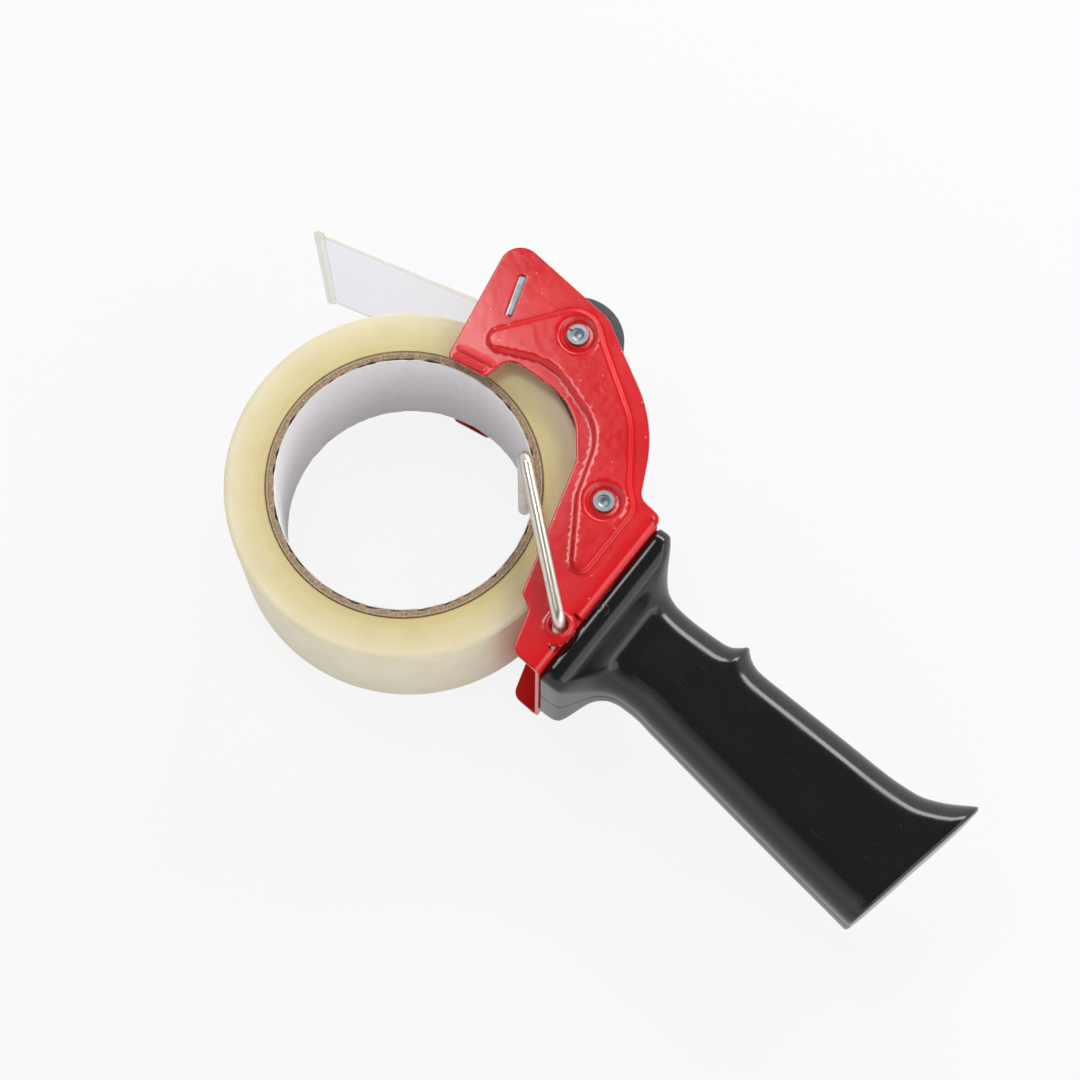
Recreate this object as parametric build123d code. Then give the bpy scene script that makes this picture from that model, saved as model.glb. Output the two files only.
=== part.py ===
from build123d import *
import math
import os

# A hand-held packing tape dispenser, lying on its side as it is stored.
# Drawing frame: the tape roll's axis is the Z axis, X runs along the steel web that
# carries the handle, and Y runs from the handle towards the head. The side plates stand
# at plus and minus Z. At the end everything moves once, so that the origin is the centre
# of the object's box, on the surface that the object lies on.

# Tape roll
ROLL_RADIUS = 53.0
ROLL_WIDTH = 48.0
CORE_BORE_RADIUS = 38.1
CORE_WALL = 2.8
LINER_WALL = 0.3
PLY_CLEARANCE = 0.02

# Steel frame
SHEET = 1.2
FRAME_GAP = 57.6
EMBOSS_HEIGHT = 1.4
EMBOSS_SLOPE = 1.2
BEND_RADIUS = 1.8
WEB_FACE_Y = -67.1
WEB_LEFT_X = -21.8
WEB_RIGHT_X = 34.4
EDGE_ROUND = 0.35
RIDGES = [(39.5, 6.7, 10.4), (42.2, 6.5, 12.2)]
RIDGE_ANGLE = -79.5
RIDGE_WIDTH = 1.5
RIDGE_HEIGHT = 0.9

# Rollers and their pins
ROLLER_RADIUS = 13.95
ROLLER_ANGLE = -11.41
ROLLER_OFF_ROLL = 0.28
ROLLER_LENGTH = 53.0
ROLLER_CORE_RADIUS = 8.0
ROLLER_CORE_BORE = 4.4
BUSH_RADIUS = 6.0
BUSH_LENGTH = 7.6
WASHER_RADIUS = 5.4
WASHER_THICKNESS = 0.8
GUIDE_RADIUS = 5.3
GUIDE_ANGLE = -59.385
GUIDE_OFF_ROLL = 0.61
PIN_RADIUS = 2.8
PIN_HEAD_RADIUS = 3.15
PIN_PROUD = 1.2
PIN_END_BORE = 1.95
PIN_END_DEPTH = 4.0
PIN_SLIT = 0.55
PIN_SLIT_ANGLE = 95.0
DIMPLE_RADIUS = 6.1
DIMPLE_FLOOR_RADIUS = 4.6

# Wire bail that carries the roll
WIRE_RADIUS = 2.0
BAIL_X = -6.9
BAIL_Y = -62.9
BAIL_BEND = 3.4
BAIL_SEAT_ANGLE = -42.0
BAIL_TIP_FROM_PLATE = 3.3
BAIL_HEAD_RADIUS = 3.3
BAIL_HEAD_HEIGHT = 0.5
BAIL_HOLE_RADIUS = 2.8
BAIL_WASHER_RADIUS = 4.6
BAIL_WASHER_THICKNESS = 0.4
COLLAR_HEIGHT = 0.4
COLLAR_WALL = 0.8
EAR_RADIUS = 5.1
EAR_LENGTH = 1.7
EAR_RELIEF_WIDTH = 13.0
EAR_RELIEF_DEPTH = 3.2

# Blade and its cross plate
HOLDER_SHEET = 1.0
SLOT_X = 58.06
SLOT_Y = 6.72
SLOT_ANGLE = 19.0
SLOT_LENGTH = 13.9
SLOT_WIDTH = 2.0
HOLDER_REACH = 15.6
BLADE_REACH = 19.4
BLADE_START = 6.0
BLADE_THICKNESS = 0.6
BLADE_WIDTH = 52.0
TOOTH_COUNT = 20
TOOTH_DEPTH = 2.4
BLADE_RIVET_S = 11.0
BLADE_RIVET_Z = 15.0
BLADE_RIVET_RADIUS = 1.2

# Clear flap
FLAP_X = 57.9
FLAP_Y = 12.9
FLAP_ANGLE = 104.1
FLAP_LENGTH = 56.7
FLAP_WIDTH = 55.6
FLAP_ROOT_THICKNESS = 1.2
FLAP_TIP_THICKNESS = 0.7
FLAP_BEAD_RADIUS = 1.3
FLAP_TIP_BEAD_LENGTH = 3.2
FLAP_TIP_BEAD_HEIGHT = 2.3
FLANGE_HEIGHT = 2.4
RETAINER_SHEET = 0.8
RETAINER_LIP_ANGLE = 50.0
RETAINER_FOOT = 4.2
FLAP_RIVET_DROP = 3.8
FLAP_RIVET_PITCH = 18.0
FLAP_RIVET_RADIUS = 0.8

# Handle
HANDLE_WALL = 2.6
BLOCK_LEFT_X = -21.4
BLOCK_RIGHT_X = 36.2
BLOCK_HEIGHT = 7.6
BLOCK_HALF_DEPTH = 25.0
GRIP_HALF_DEPTH = 15.0
PALM_ROUND = 10.5
TRIGGER_ROUND = 11.0
BLOCK_ROUND = 3.0
PARTING_GAP = 0.2
HANDLE_END_ANGLE = -11.0
HANDLE_END_Y = -184.3
GRIP_TRIGGER_X = 22.8
NUB_Y = -108.0
NUB_REACH = 4.2
TANG_SCREW_X = 8.0
TANG_SCREW_DROPS = [9.9, 21.9]
END_SCREW = (3.0, -165.0)
SCREW_RADIUS = 1.6
SCREW_HEAD_RADIUS = 3.3
SCREW_HEAD_HEIGHT = 2.2
SCREW_SEAT_Z = -8.5
SCREW_LENGTH = 18.0
BOSS_RADIUS = 5.2
TANG_LEFT_X = 0.0
TANG_WIDTH = 16.0
TANG_DEPTH = 27.0

# Clearances
RUNNING_FIT = 0.06
SEAT_GAP = 0.2
ROUND_GAP = 0.3

# Sizes that follow. Both rollers stand beside the full roll.
ROLLER_ARM = ROLL_RADIUS + ROLLER_OFF_ROLL + ROLLER_RADIUS
ROLLER_X = ROLLER_ARM * math.cos(math.radians(ROLLER_ANGLE))
ROLLER_Y = ROLLER_ARM * math.sin(math.radians(ROLLER_ANGLE))
GUIDE_ARM = ROLL_RADIUS + GUIDE_OFF_ROLL + GUIDE_RADIUS
GUIDE_X = GUIDE_ARM * math.cos(math.radians(GUIDE_ANGLE))
GUIDE_Y = GUIDE_ARM * math.sin(math.radians(GUIDE_ANGLE))
PLATE_IN = FRAME_GAP / 2
PLATE_OUT = PLATE_IN + SHEET
REST_Z = PLATE_OUT + EMBOSS_HEIGHT
ARM_Z = PLATE_OUT + COLLAR_HEIGHT + ROUND_GAP + WIRE_RADIUS
SEAT_RADIUS = CORE_BORE_RADIUS - WIRE_RADIUS - ROUND_GAP
CROSSBAR_X = SEAT_RADIUS * math.cos(math.radians(BAIL_SEAT_ANGLE))
CROSSBAR_Y = SEAT_RADIUS * math.sin(math.radians(BAIL_SEAT_ANGLE))
SCREWS = [(TANG_SCREW_X, WEB_FACE_Y - drop) for drop in TANG_SCREW_DROPS] + [END_SCREW]


def rounded_face(corners):
    """A flat face from corners, each given as x, y and its rounding radius."""
    points = [(x, y) for x, y, radius in corners]
    radii = [radius for x, y, radius in corners]
    return make_face(FilletPolyline(*points, radius=radii, close=True))


def lifted(face, low, high):
    """The face, drawn at Z 0, as a plate from one height to another."""
    return Pos(0, 0, low) * extrude(face, high - low)


def tube(outer, inner, low, high, x=0.0, y=0.0):
    """A round tube along Z."""
    return Pos(x, y, 0) * lifted(Circle(outer) - Circle(inner), low, high)


def rod(radius, low, high, x=0.0, y=0.0):
    """A round bar along Z."""
    return Pos(x, y, 0) * lifted(Circle(radius), low, high)


def box(x0, x1, y0, y1, z0, z1):
    """A block between two corners."""
    return Pos((x0 + x1) / 2, (y0 + y1) / 2, (z0 + z1) / 2) * Box(x1 - x0, y1 - y0, z1 - z0)


def local_plane(x, y, angle):
    """A drawing plane at a point, turned about Z."""
    turn = math.radians(angle)
    return Plane(origin=(x, y, 0), x_dir=(math.cos(turn), math.sin(turn), 0), z_dir=(0, 0, 1))


SLOT_PLANE = local_plane(SLOT_X, SLOT_Y, SLOT_ANGLE)
FLAP_PLANE = local_plane(FLAP_X, FLAP_Y, FLAP_ANGLE - 90)


# The frame is one stamping: two side plates of the same outline, folded up from a web.

def plate_outline():
    """The side plate: head, arch over the roll, lower leg and the edge along the web."""
    return rounded_face([
        (WEB_LEFT_X, WEB_FACE_Y, 0.8),
        (36.6, WEB_FACE_Y, 3.0),
        (37.7, WEB_FACE_Y + 8.8, 4.0),
        (58.4, -47.85, 43.0),
        (69.7, -27.7, 30.0),
        (75.9, -17.3, 8.0),
        (79.8, 21.4, 6.5),
        (37.0, 13.1, 1.8),
        (39.0, 0.2, 2.0),
        (48.2, -1.6, 5.0),
        (48.9, -25.8, 20.0),
        (35.0, -36.6, 8.0),
        (-6.0, WEB_FACE_Y + 18.4, 2.2),
        (-8.5, WEB_FACE_Y + 13.9, 1.8),
        (-21.3, WEB_FACE_Y + 10.0, 3.6),
    ])


def raised_outline(grow):
    """The C-shaped field that is pressed outwards, grown or shrunk by an offset."""
    field = rounded_face([
        (42.5, 14.3, 3.2),
        (54.7, -12.6, 18.0),
        (46.4, -36.6, 16.0),
        (26.6, -43.4, 6.0),
        (8.3, -55.4, 3.0),
        (9.6, -59.35, 2.4),
        (33.2, -59.35, 4.5),
        (38.8, -53.4, 5.0),
        (54.3, -42.2, 25.0),
        (67.6, -22.2, 5.0),
        (76.3, -10.8, 7.9),
    ])
    return offset(field, grow)


def ridge_outlines(grow):
    """Two stiffening ridges side by side on the head's lower edge."""
    ridges = []
    for x, y, length in RIDGES:
        plane = local_plane(x, y, RIDGE_ANGLE)
        ridges.append(plane * SlotOverall(length + 2 * grow, RIDGE_WIDTH + 2 * grow))
    return ridges


def pressed_layer(base):
    """All that is pressed out of a side plate, standing on a height."""
    top = base + EMBOSS_HEIGHT
    half_slope = EMBOSS_SLOPE / 2
    layer = loft([
        Pos(0, 0, base) * raised_outline(half_slope),
        Pos(0, 0, top) * raised_outline(-half_slope),
    ], ruled=True)
    slope = RIDGE_WIDTH / 5
    for low, high in zip(ridge_outlines(slope), ridge_outlines(-slope)):
        ridge_top = base + RIDGE_HEIGHT
        layer += loft([Pos(0, 0, base) * low, Pos(0, 0, ridge_top) * high], ruled=True)
    for x, y in ((ROLLER_X, ROLLER_Y), (GUIDE_X, GUIDE_Y)):
        layer -= Pos(x, y, base + EMBOSS_HEIGHT / 2) * Cone(
            DIMPLE_FLOOR_RADIUS, DIMPLE_RADIUS, EMBOSS_HEIGHT)
    return layer


def ear_outline():
    """The lobe round the bail's hole, which hangs past the web."""
    lobe = Circle(EAR_RADIUS) + Pos(-EAR_LENGTH, 0) * Circle(EAR_RADIUS)
    lobe += Pos(-EAR_LENGTH / 2, 0) * Rectangle(EAR_LENGTH, 2 * EAR_RADIUS)
    return Pos(BAIL_X, BAIL_Y) * lobe


def slot_outline():
    """The slot in the head that takes a tab of the blade's cross plate."""
    return SLOT_PLANE * Pos(SLOT_LENGTH / 2, 0) * SlotOverall(SLOT_LENGTH, SLOT_WIDTH)


def side_plate(bail_hole):
    """The near side plate, down to where the fold begins."""
    plate = lifted(plate_outline(), PLATE_IN, PLATE_OUT)
    plate = fillet(plate.faces().sort_by(Axis.Z)[-1].outer_wire().edges(), EDGE_ROUND)
    plate -= box(WEB_LEFT_X - 1, WEB_RIGHT_X, WEB_FACE_Y - 1, WEB_FACE_Y + BEND_RADIUS,
                 PLATE_IN - 1, PLATE_OUT + 1)
    plate += pressed_layer(PLATE_OUT)
    plate -= pressed_layer(PLATE_IN)
    plate -= lifted(slot_outline(), PLATE_IN - 1, PLATE_OUT + 1)
    for x, y in ((ROLLER_X, ROLLER_Y), (GUIDE_X, GUIDE_Y)):
        plate -= rod(PIN_RADIUS + RUNNING_FIT, PLATE_IN - 1, REST_Z, x, y)
    ear = lifted(ear_outline(), PLATE_IN, PLATE_OUT)
    ear += rod(BAIL_HOLE_RADIUS + COLLAR_WALL, PLATE_OUT, PLATE_OUT + COLLAR_HEIGHT, BAIL_X, BAIL_Y)
    return plate + ear - rod(bail_hole, PLATE_IN - 1, REST_Z, BAIL_X, BAIL_Y)


def folded_web():
    """The web with the start of both folds, and the reliefs beside the ears."""
    outer = rounded_face([
        (WEB_FACE_Y + BEND_RADIUS, -PLATE_OUT, 0),
        (WEB_FACE_Y, -PLATE_OUT, BEND_RADIUS * 0.98),
        (WEB_FACE_Y, PLATE_OUT, BEND_RADIUS * 0.98),
        (WEB_FACE_Y + BEND_RADIUS, PLATE_OUT, 0),
    ])
    inner = rounded_face([
        (WEB_FACE_Y + BEND_RADIUS + 1, -PLATE_IN, 0),
        (WEB_FACE_Y + SHEET, -PLATE_IN, BEND_RADIUS - SHEET),
        (WEB_FACE_Y + SHEET, PLATE_IN, BEND_RADIUS - SHEET),
        (WEB_FACE_Y + BEND_RADIUS + 1, PLATE_IN, 0),
    ])
    web = Plane.YZ * (outer - inner)
    web = Pos(WEB_LEFT_X, 0, 0) * extrude(web, WEB_RIGHT_X - WEB_LEFT_X)
    relief_x = BAIL_X - EAR_LENGTH / 2
    for side in (-1, 1):
        low, high = sorted((side * (PLATE_OUT - EAR_RELIEF_DEPTH), side * (PLATE_OUT + 1)))
        web -= box(relief_x - EAR_RELIEF_WIDTH / 2, relief_x + EAR_RELIEF_WIDTH / 2,
                   WEB_FACE_Y - 1, WEB_FACE_Y + BEND_RADIUS + 1, low, high)
    return web


def handle_tang():
    """The tongue bent down out of the web, which the handle's halves clamp."""
    right = TANG_LEFT_X + TANG_WIDTH
    low = WEB_FACE_Y + SHEET - TANG_DEPTH
    tang = box(TANG_LEFT_X, right, low, WEB_FACE_Y + SHEET, -SHEET / 2, SHEET / 2)
    for x, y in SCREWS:
        if y > low:
            tang -= rod(SCREW_RADIUS + ROUND_GAP, -SHEET, SHEET, x, y)
    return tang


def tang_window():
    """The opening that the tongue leaves in the web."""
    return box(TANG_LEFT_X, TANG_LEFT_X + TANG_WIDTH, WEB_FACE_Y - 1, WEB_FACE_Y + SHEET + 1,
               SHEET / 2 + 0.4, TANG_DEPTH - SHEET)


def back_bridge():
    """The short strip that ties the two plates together at the back of the arch."""
    plane = local_plane(65.9, -33.9, 62.0)
    strip = plane * Pos(0, SHEET / 2) * Rectangle(10.6, SHEET)
    bridge = lifted(strip, -PLATE_OUT + EDGE_ROUND, PLATE_OUT - EDGE_ROUND)
    return bridge


def frame():
    """Both plates, the web, its tongue and the back bridge, as one stamping."""
    near = side_plate(BAIL_HOLE_RADIUS)
    far = mirror(side_plate(WIRE_RADIUS + RUNNING_FIT), about=Plane.XY)
    return near + far + folded_web() - tang_window() + handle_tang() + back_bridge()


# Pins, rollers and bushes

def headed_pin(x, y):
    """A pin across the frame with tubular ends, set over the plates at both sides."""
    end = PLATE_OUT + PIN_PROUD
    pin = rod(PIN_RADIUS, -end, end)
    for side in (-1, 1):
        low, high = sorted((side * (PLATE_OUT + 0.05), side * end))
        pin += rod(PIN_HEAD_RADIUS, low, high)
        low, high = sorted((side * (end - PIN_END_DEPTH), side * (end + 1)))
        pin -= rod(PIN_END_BORE, low, high)
    return Pos(x, y, 0) * pin


def roller_axle():
    """The roller's pin, with the crack that setting its head leaves at each end."""
    axle = headed_pin(ROLLER_X, ROLLER_Y)
    end = PLATE_OUT + PIN_PROUD + 1
    for side in (-1, 1):
        low, high = sorted((side * (PLATE_OUT + 0.05), side * end))
        slit = box(0, PIN_HEAD_RADIUS + 1, -PIN_SLIT / 2, PIN_SLIT / 2, low, high)
        axle -= Pos(ROLLER_X, ROLLER_Y, 0) * Rot(0, 0, PIN_SLIT_ANGLE) * slit
    return axle


def roller_sleeve():
    """The rubber tyre of the roller, with softened ends."""
    half = ROLLER_LENGTH / 2 - 0.3
    sleeve = tube(ROLLER_RADIUS, ROLLER_CORE_RADIUS + 0.05, -half, half)
    rims = sleeve.edges().filter_by(GeomType.CIRCLE)
    rims = rims.filter_by(lambda edge: edge.radius > ROLLER_RADIUS - 0.1)
    return Pos(ROLLER_X, ROLLER_Y, 0) * chamfer(rims, 0.8)


def roller_core():
    """The moulded tube inside the roller, counterbored for a bush at each end."""
    half = ROLLER_LENGTH / 2
    core = tube(ROLLER_CORE_RADIUS, ROLLER_CORE_BORE, -half, half)
    seat = half - BUSH_LENGTH + SEAT_GAP + WASHER_THICKNESS
    for low, high in ((-half - 1, -seat), (seat, half + 1)):
        core -= rod(BUSH_RADIUS + 0.05, low, high)
    return Pos(ROLLER_X, ROLLER_Y, 0) * core


def roller_bushes():
    """The two plain bearings that turn on the axle."""
    outer = ROLLER_LENGTH / 2 + WASHER_THICKNESS
    bore = PIN_RADIUS + RUNNING_FIT
    near = tube(BUSH_RADIUS, bore, outer - BUSH_LENGTH + SEAT_GAP, outer, ROLLER_X, ROLLER_Y)
    return [near, mirror(near, about=Plane.XY)]


def roller_washers():
    """Thrust washers between the roller and the side plates."""
    outer = PLATE_IN - SEAT_GAP
    near = tube(WASHER_RADIUS, PIN_RADIUS + RUNNING_FIT, outer - WASHER_THICKNESS, outer,
                ROLLER_X, ROLLER_Y)
    return [near, mirror(near, about=Plane.XY)]


def guide_sleeve():
    """The loose tube on the lower pin, which keeps the roll off the web."""
    half = PLATE_IN - 4 * SEAT_GAP
    return tube(GUIDE_RADIUS, PIN_RADIUS + RUNNING_FIT, -half, half, GUIDE_X, GUIDE_Y)


# Blade, cross plate and flap

def blade_holder():
    """The bent cross plate: a leg that carries the blade and a flange for the flap."""
    half = PLATE_IN - SEAT_GAP
    corner = -HOLDER_SHEET
    leg = SLOT_PLANE * Pos((corner + HOLDER_REACH) / 2, 0)
    leg = leg * Rectangle(HOLDER_REACH - corner, HOLDER_SHEET)
    side = FLAP_BEAD_RADIUS + RUNNING_FIT
    drop = (FLAP_Y - SLOT_Y) + 0.2
    flange = FLAP_PLANE * Pos(-side - HOLDER_SHEET / 2, (FLANGE_HEIGHT - drop) / 2)
    flange = flange * Rectangle(HOLDER_SHEET, FLANGE_HEIGHT + drop)
    holder = lifted(leg, -half, half) + lifted(flange, -half, half)
    tab_length = SLOT_LENGTH - 1.3
    tab = SLOT_PLANE * Pos(SLOT_LENGTH / 2, 0) * Rectangle(tab_length, HOLDER_SHEET)
    holder += lifted(tab, -PLATE_OUT + 0.1, PLATE_OUT - 0.1)
    for z in (-BLADE_RIVET_Z, BLADE_RIVET_Z):
        holder -= blade_rivet_axis(z) * Cylinder(BLADE_RIVET_RADIUS + 0.05, 6)
    for z in flap_rivet_heights():
        holder -= flap_rivet_axis(z) * Cylinder(FLAP_RIVET_RADIUS + 0.05, 4)
    return holder


def blade_rivet_axis(z):
    """The place of a blade rivet, with Z along the rivet."""
    return SLOT_PLANE * Pos(BLADE_RIVET_S, 0, z) * Rot(-90, 0, 0)


def flap_rivet_heights():
    """Where along the flap's width its retainer is riveted."""
    return [-FLAP_RIVET_PITCH, 0.0, FLAP_RIVET_PITCH]


def flap_rivet_axis(z):
    """The place of a retainer rivet, with Z along the rivet."""
    side = FLAP_BEAD_RADIUS + RUNNING_FIT
    return FLAP_PLANE * Pos(-side, -FLAP_RIVET_DROP, z) * Rot(0, 90, 0)


def rivet(radius, grip_low, grip_high):
    """A small rivet along Z with a low round head at each end."""
    body = Pos(0, 0, (grip_low + grip_high) / 2) * Cylinder(radius, grip_high - grip_low)
    head = Cylinder(1.8 * radius, 0.7 * radius)
    head = chamfer(head.edges().group_by(Axis.Z)[-1], 0.35 * radius)
    body += Pos(0, 0, grip_high + 0.35 * radius) * head
    return body + Pos(0, 0, grip_low - 0.35 * radius) * Rot(180, 0, 0) * head


def cutter_blade():
    """The toothed strip along the front of the cross plate."""
    pitch = BLADE_WIDTH / TOOTH_COUNT
    half = BLADE_WIDTH / 2
    points = [(BLADE_START, half), (BLADE_START, -half)]
    for tooth in range(TOOTH_COUNT):
        low = -half + tooth * pitch
        points.append((BLADE_REACH - TOOTH_DEPTH, low))
        points.append((BLADE_REACH, low + pitch / 2))
    points.append((BLADE_REACH - TOOTH_DEPTH, half))
    strip = make_face(Polyline(*points, close=True))
    blade = extrude(Plane.XZ * strip, -BLADE_THICKNESS)
    blade = SLOT_PLANE * Pos(0, HOLDER_SHEET / 2 + 0.02, 0) * blade
    for z in (-BLADE_RIVET_Z, BLADE_RIVET_Z):
        blade -= blade_rivet_axis(z) * Cylinder(BLADE_RIVET_RADIUS + 0.05, 6)
    return blade


def blade_rivets():
    """Two rivets through the blade and the cross plate."""
    low = -HOLDER_SHEET / 2 - 0.02
    high = HOLDER_SHEET / 2 + BLADE_THICKNESS + 0.04
    one = rivet(BLADE_RIVET_RADIUS, low, high)
    return [blade_rivet_axis(z) * one for z in (-BLADE_RIVET_Z, BLADE_RIVET_Z)]


def flap_retainer():
    """The pressed strip that traps the flap's root bead against the flange."""
    bore = FLAP_BEAD_RADIUS + RUNNING_FIT
    outer = bore + RETAINER_SHEET
    lip = math.radians(RETAINER_LIP_ANGLE)
    far = 3 * outer
    away = Polyline((0, 0), (far * math.cos(lip), far * math.sin(lip)), (-far, far),
                    (-far, -far), (-far * 0.57, -far), close=True)
    channel = Circle(outer) - make_face(away)
    foot = Pos(-bore + RETAINER_SHEET / 2, -1.1 - RETAINER_FOOT / 2)
    channel += foot * Rectangle(RETAINER_SHEET, RETAINER_FOOT)
    channel -= Circle(bore)
    half = FLAP_WIDTH / 2 - 0.8
    strip = lifted(FLAP_PLANE * channel, -half, half)
    for z in flap_rivet_heights():
        strip -= flap_rivet_axis(z) * Cylinder(FLAP_RIVET_RADIUS + 0.05, 4)
    return strip


def flap_rivets():
    """Three rivets that hold the retainer on the cross plate's flange."""
    one = rivet(FLAP_RIVET_RADIUS, -HOLDER_SHEET - 0.02, RETAINER_SHEET + 0.02)
    return [flap_rivet_axis(z) * one for z in flap_rivet_heights()]


def flap():
    """The clear extruded flap: a tapering sheet with a bead along both ends."""
    sheet = make_face(Polyline(
        (-FLAP_ROOT_THICKNESS / 2, 0), (FLAP_ROOT_THICKNESS / 2, 0),
        (FLAP_TIP_THICKNESS / 2, FLAP_LENGTH), (-FLAP_TIP_THICKNESS / 2, FLAP_LENGTH),
        close=True))
    tip = Pos(0, FLAP_LENGTH) * Rot(0, 0, 90)
    section = sheet + Circle(FLAP_BEAD_RADIUS)
    section += tip * SlotOverall(FLAP_TIP_BEAD_LENGTH, FLAP_TIP_BEAD_HEIGHT)
    return lifted(FLAP_PLANE * section, -FLAP_WIDTH / 2, FLAP_WIDTH / 2)


# Bail

def bail():
    """The bent wire: a leg through the frame, an arm outside it and the roll's crossbar."""
    tip_z = -PLATE_IN + BAIL_TIP_FROM_PLATE
    path = FilletPolyline((BAIL_X, BAIL_Y, -REST_Z), (BAIL_X, BAIL_Y, ARM_Z),
                          (CROSSBAR_X, CROSSBAR_Y, ARM_Z), (CROSSBAR_X, CROSSBAR_Y, tip_z),
                          radius=BAIL_BEND)
    section = Plane(origin=(BAIL_X, BAIL_Y, -REST_Z), z_dir=(0, 0, 1)) * Circle(WIRE_RADIUS)
    wire = sweep(section, path=path)
    tip = wire.faces().sort_by_distance((CROSSBAR_X, CROSSBAR_Y, tip_z))[0]
    wire = fillet(tip.edges(), WIRE_RADIUS * 0.8)
    return wire + rod(BAIL_HEAD_RADIUS, -REST_Z, -REST_Z + BAIL_HEAD_HEIGHT, BAIL_X, BAIL_Y)


def bail_washer():
    """The thin washer under the bail's peened end."""
    top = -PLATE_OUT - COLLAR_HEIGHT - 0.05
    return tube(BAIL_WASHER_RADIUS, WIRE_RADIUS + RUNNING_FIT, top - BAIL_WASHER_THICKNESS, top,
                BAIL_X, BAIL_Y)


# Tape roll

def tape_ring():
    """The wound tape."""
    inner = CORE_BORE_RADIUS + CORE_WALL + PLY_CLEARANCE
    return tube(ROLL_RADIUS, inner, -ROLL_WIDTH / 2, ROLL_WIDTH / 2)


def tape_core():
    """The brown board core."""
    inner = CORE_BORE_RADIUS + LINER_WALL + PLY_CLEARANCE
    return tube(CORE_BORE_RADIUS + CORE_WALL, inner, -ROLL_WIDTH / 2, ROLL_WIDTH / 2)


def core_liner():
    """The white paper ply inside the core."""
    half = ROLL_WIDTH / 2
    return tube(CORE_BORE_RADIUS + LINER_WALL, CORE_BORE_RADIUS, -half, half)


# Handle: two moulded halves that part on the middle plane. Each section across the grip
# is a rounded rectangle: its palm side and trigger side by X, its half depth by Z.

def grip_stations():
    """Y, palm side, trigger side, half depth and how far the block's rounding has gone."""
    nub = GRIP_TRIGGER_X + NUB_REACH
    return [
        (WEB_FACE_Y - 4.9, BLOCK_LEFT_X + 0.6, BLOCK_RIGHT_X - 2.3, BLOCK_HALF_DEPTH - 0.8, 0.0),
        (WEB_FACE_Y - 7.5, BLOCK_LEFT_X + 1.6, BLOCK_RIGHT_X - 6.8, BLOCK_HALF_DEPTH - 2.6, 0.25),
        (WEB_FACE_Y - 10.1, -16.3, 26.5, GRIP_HALF_DEPTH + 3.4, 0.6),
        (WEB_FACE_Y - 12.9, -12.2, 25.1, GRIP_HALF_DEPTH + 0.8, 0.9),
        (WEB_FACE_Y - 16.9, -9.2, 23.9, GRIP_HALF_DEPTH, 1.0),
        (WEB_FACE_Y - 24.9, -8.4, 23.2, GRIP_HALF_DEPTH, 1.0),
        (NUB_Y + 7.0, -9.7, 23.4, GRIP_HALF_DEPTH, 1.0),
        (NUB_Y + 4.0, -10.1, 24.1, GRIP_HALF_DEPTH, 1.0),
        (NUB_Y + 1.6, -10.5, nub - 1.2, GRIP_HALF_DEPTH, 1.0),
        (NUB_Y, -10.7, nub, GRIP_HALF_DEPTH, 1.0),
        (NUB_Y - 1.3, -10.9, nub - 0.8, GRIP_HALF_DEPTH, 1.0),
        (NUB_Y - 3.6, -11.2, nub - 2.8, GRIP_HALF_DEPTH, 1.0),
        (NUB_Y - 6.5, -11.65, GRIP_TRIGGER_X + 0.3, GRIP_HALF_DEPTH, 1.0),
        (-130.0, -13.9, GRIP_TRIGGER_X - 0.3, GRIP_HALF_DEPTH, 1.0),
        (-148.0, -16.4, GRIP_TRIGGER_X - 0.8, GRIP_HALF_DEPTH, 1.0),
        (-164.0, -18.6, GRIP_TRIGGER_X - 1.2, GRIP_HALF_DEPTH, 1.0),
        (-173.0, -19.8, 22.1, GRIP_HALF_DEPTH + 0.2, 1.0),
        (-180.0, -20.7, 24.5, GRIP_HALF_DEPTH + 0.6, 1.0),
        (-187.0, -21.6, 28.6, GRIP_HALF_DEPTH + 1.1, 1.0),
        (-194.0, -22.5, 32.8, GRIP_HALF_DEPTH + 1.7, 1.0),
    ]


def grip_section(y, palm, trigger, depth, grown, inset):
    """One section across the grip, drawn smaller by the inset."""
    palm_round = BLOCK_ROUND + (PALM_ROUND - BLOCK_ROUND) * grown - inset
    trigger_round = BLOCK_ROUND + (TRIGGER_ROUND - BLOCK_ROUND) * grown - inset
    palm_round = max(palm_round, 0.6)
    trigger_round = max(trigger_round, 0.6)
    half = depth - inset
    face = rounded_face([
        (palm + inset, -half, palm_round),
        (trigger - inset, -half, trigger_round),
        (trigger - inset, half, trigger_round),
        (palm + inset, half, palm_round),
    ])
    return Plane(origin=(0, y, 0), x_dir=(1, 0, 0), z_dir=(0, -1, 0)) * mirror(face, about=Plane.XZ)


def grip_body(inset):
    """The grip and its neck as one smooth body."""
    sections = []
    for y, *sizes in grip_stations():
        lowered = 0.0 if y > WEB_FACE_Y - BLOCK_HEIGHT + inset else inset / 2
        sections.append(grip_section(y - lowered, *sizes, inset))
    return loft(sections)


def block_body(inset):
    """The wide block under the web."""
    low = WEB_FACE_Y - BLOCK_HEIGHT + inset
    high = WEB_FACE_Y - inset
    half = BLOCK_HALF_DEPTH - inset
    body = box(BLOCK_LEFT_X + inset, BLOCK_RIGHT_X - inset, low, high, -half, half)
    if inset > 0:
        return body
    body = fillet(body.edges().filter_by(Axis.Y), BLOCK_ROUND)
    return fillet(body.faces().sort_by(Axis.Y)[0].edges(), BLOCK_ROUND * 0.95)


def end_cut(inset):
    """The half space beyond the slanted end of the grip."""
    plane = local_plane(0, HANDLE_END_Y + inset, HANDLE_END_ANGLE)
    reach = 4 * GRIP_HALF_DEPTH
    return lifted(plane * Pos(0, -reach / 2) * Rectangle(2 * reach, reach), -reach, reach)


def handle_outside():
    """The whole handle's outer form."""
    return block_body(0) + grip_body(0) - end_cut(0)


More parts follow.
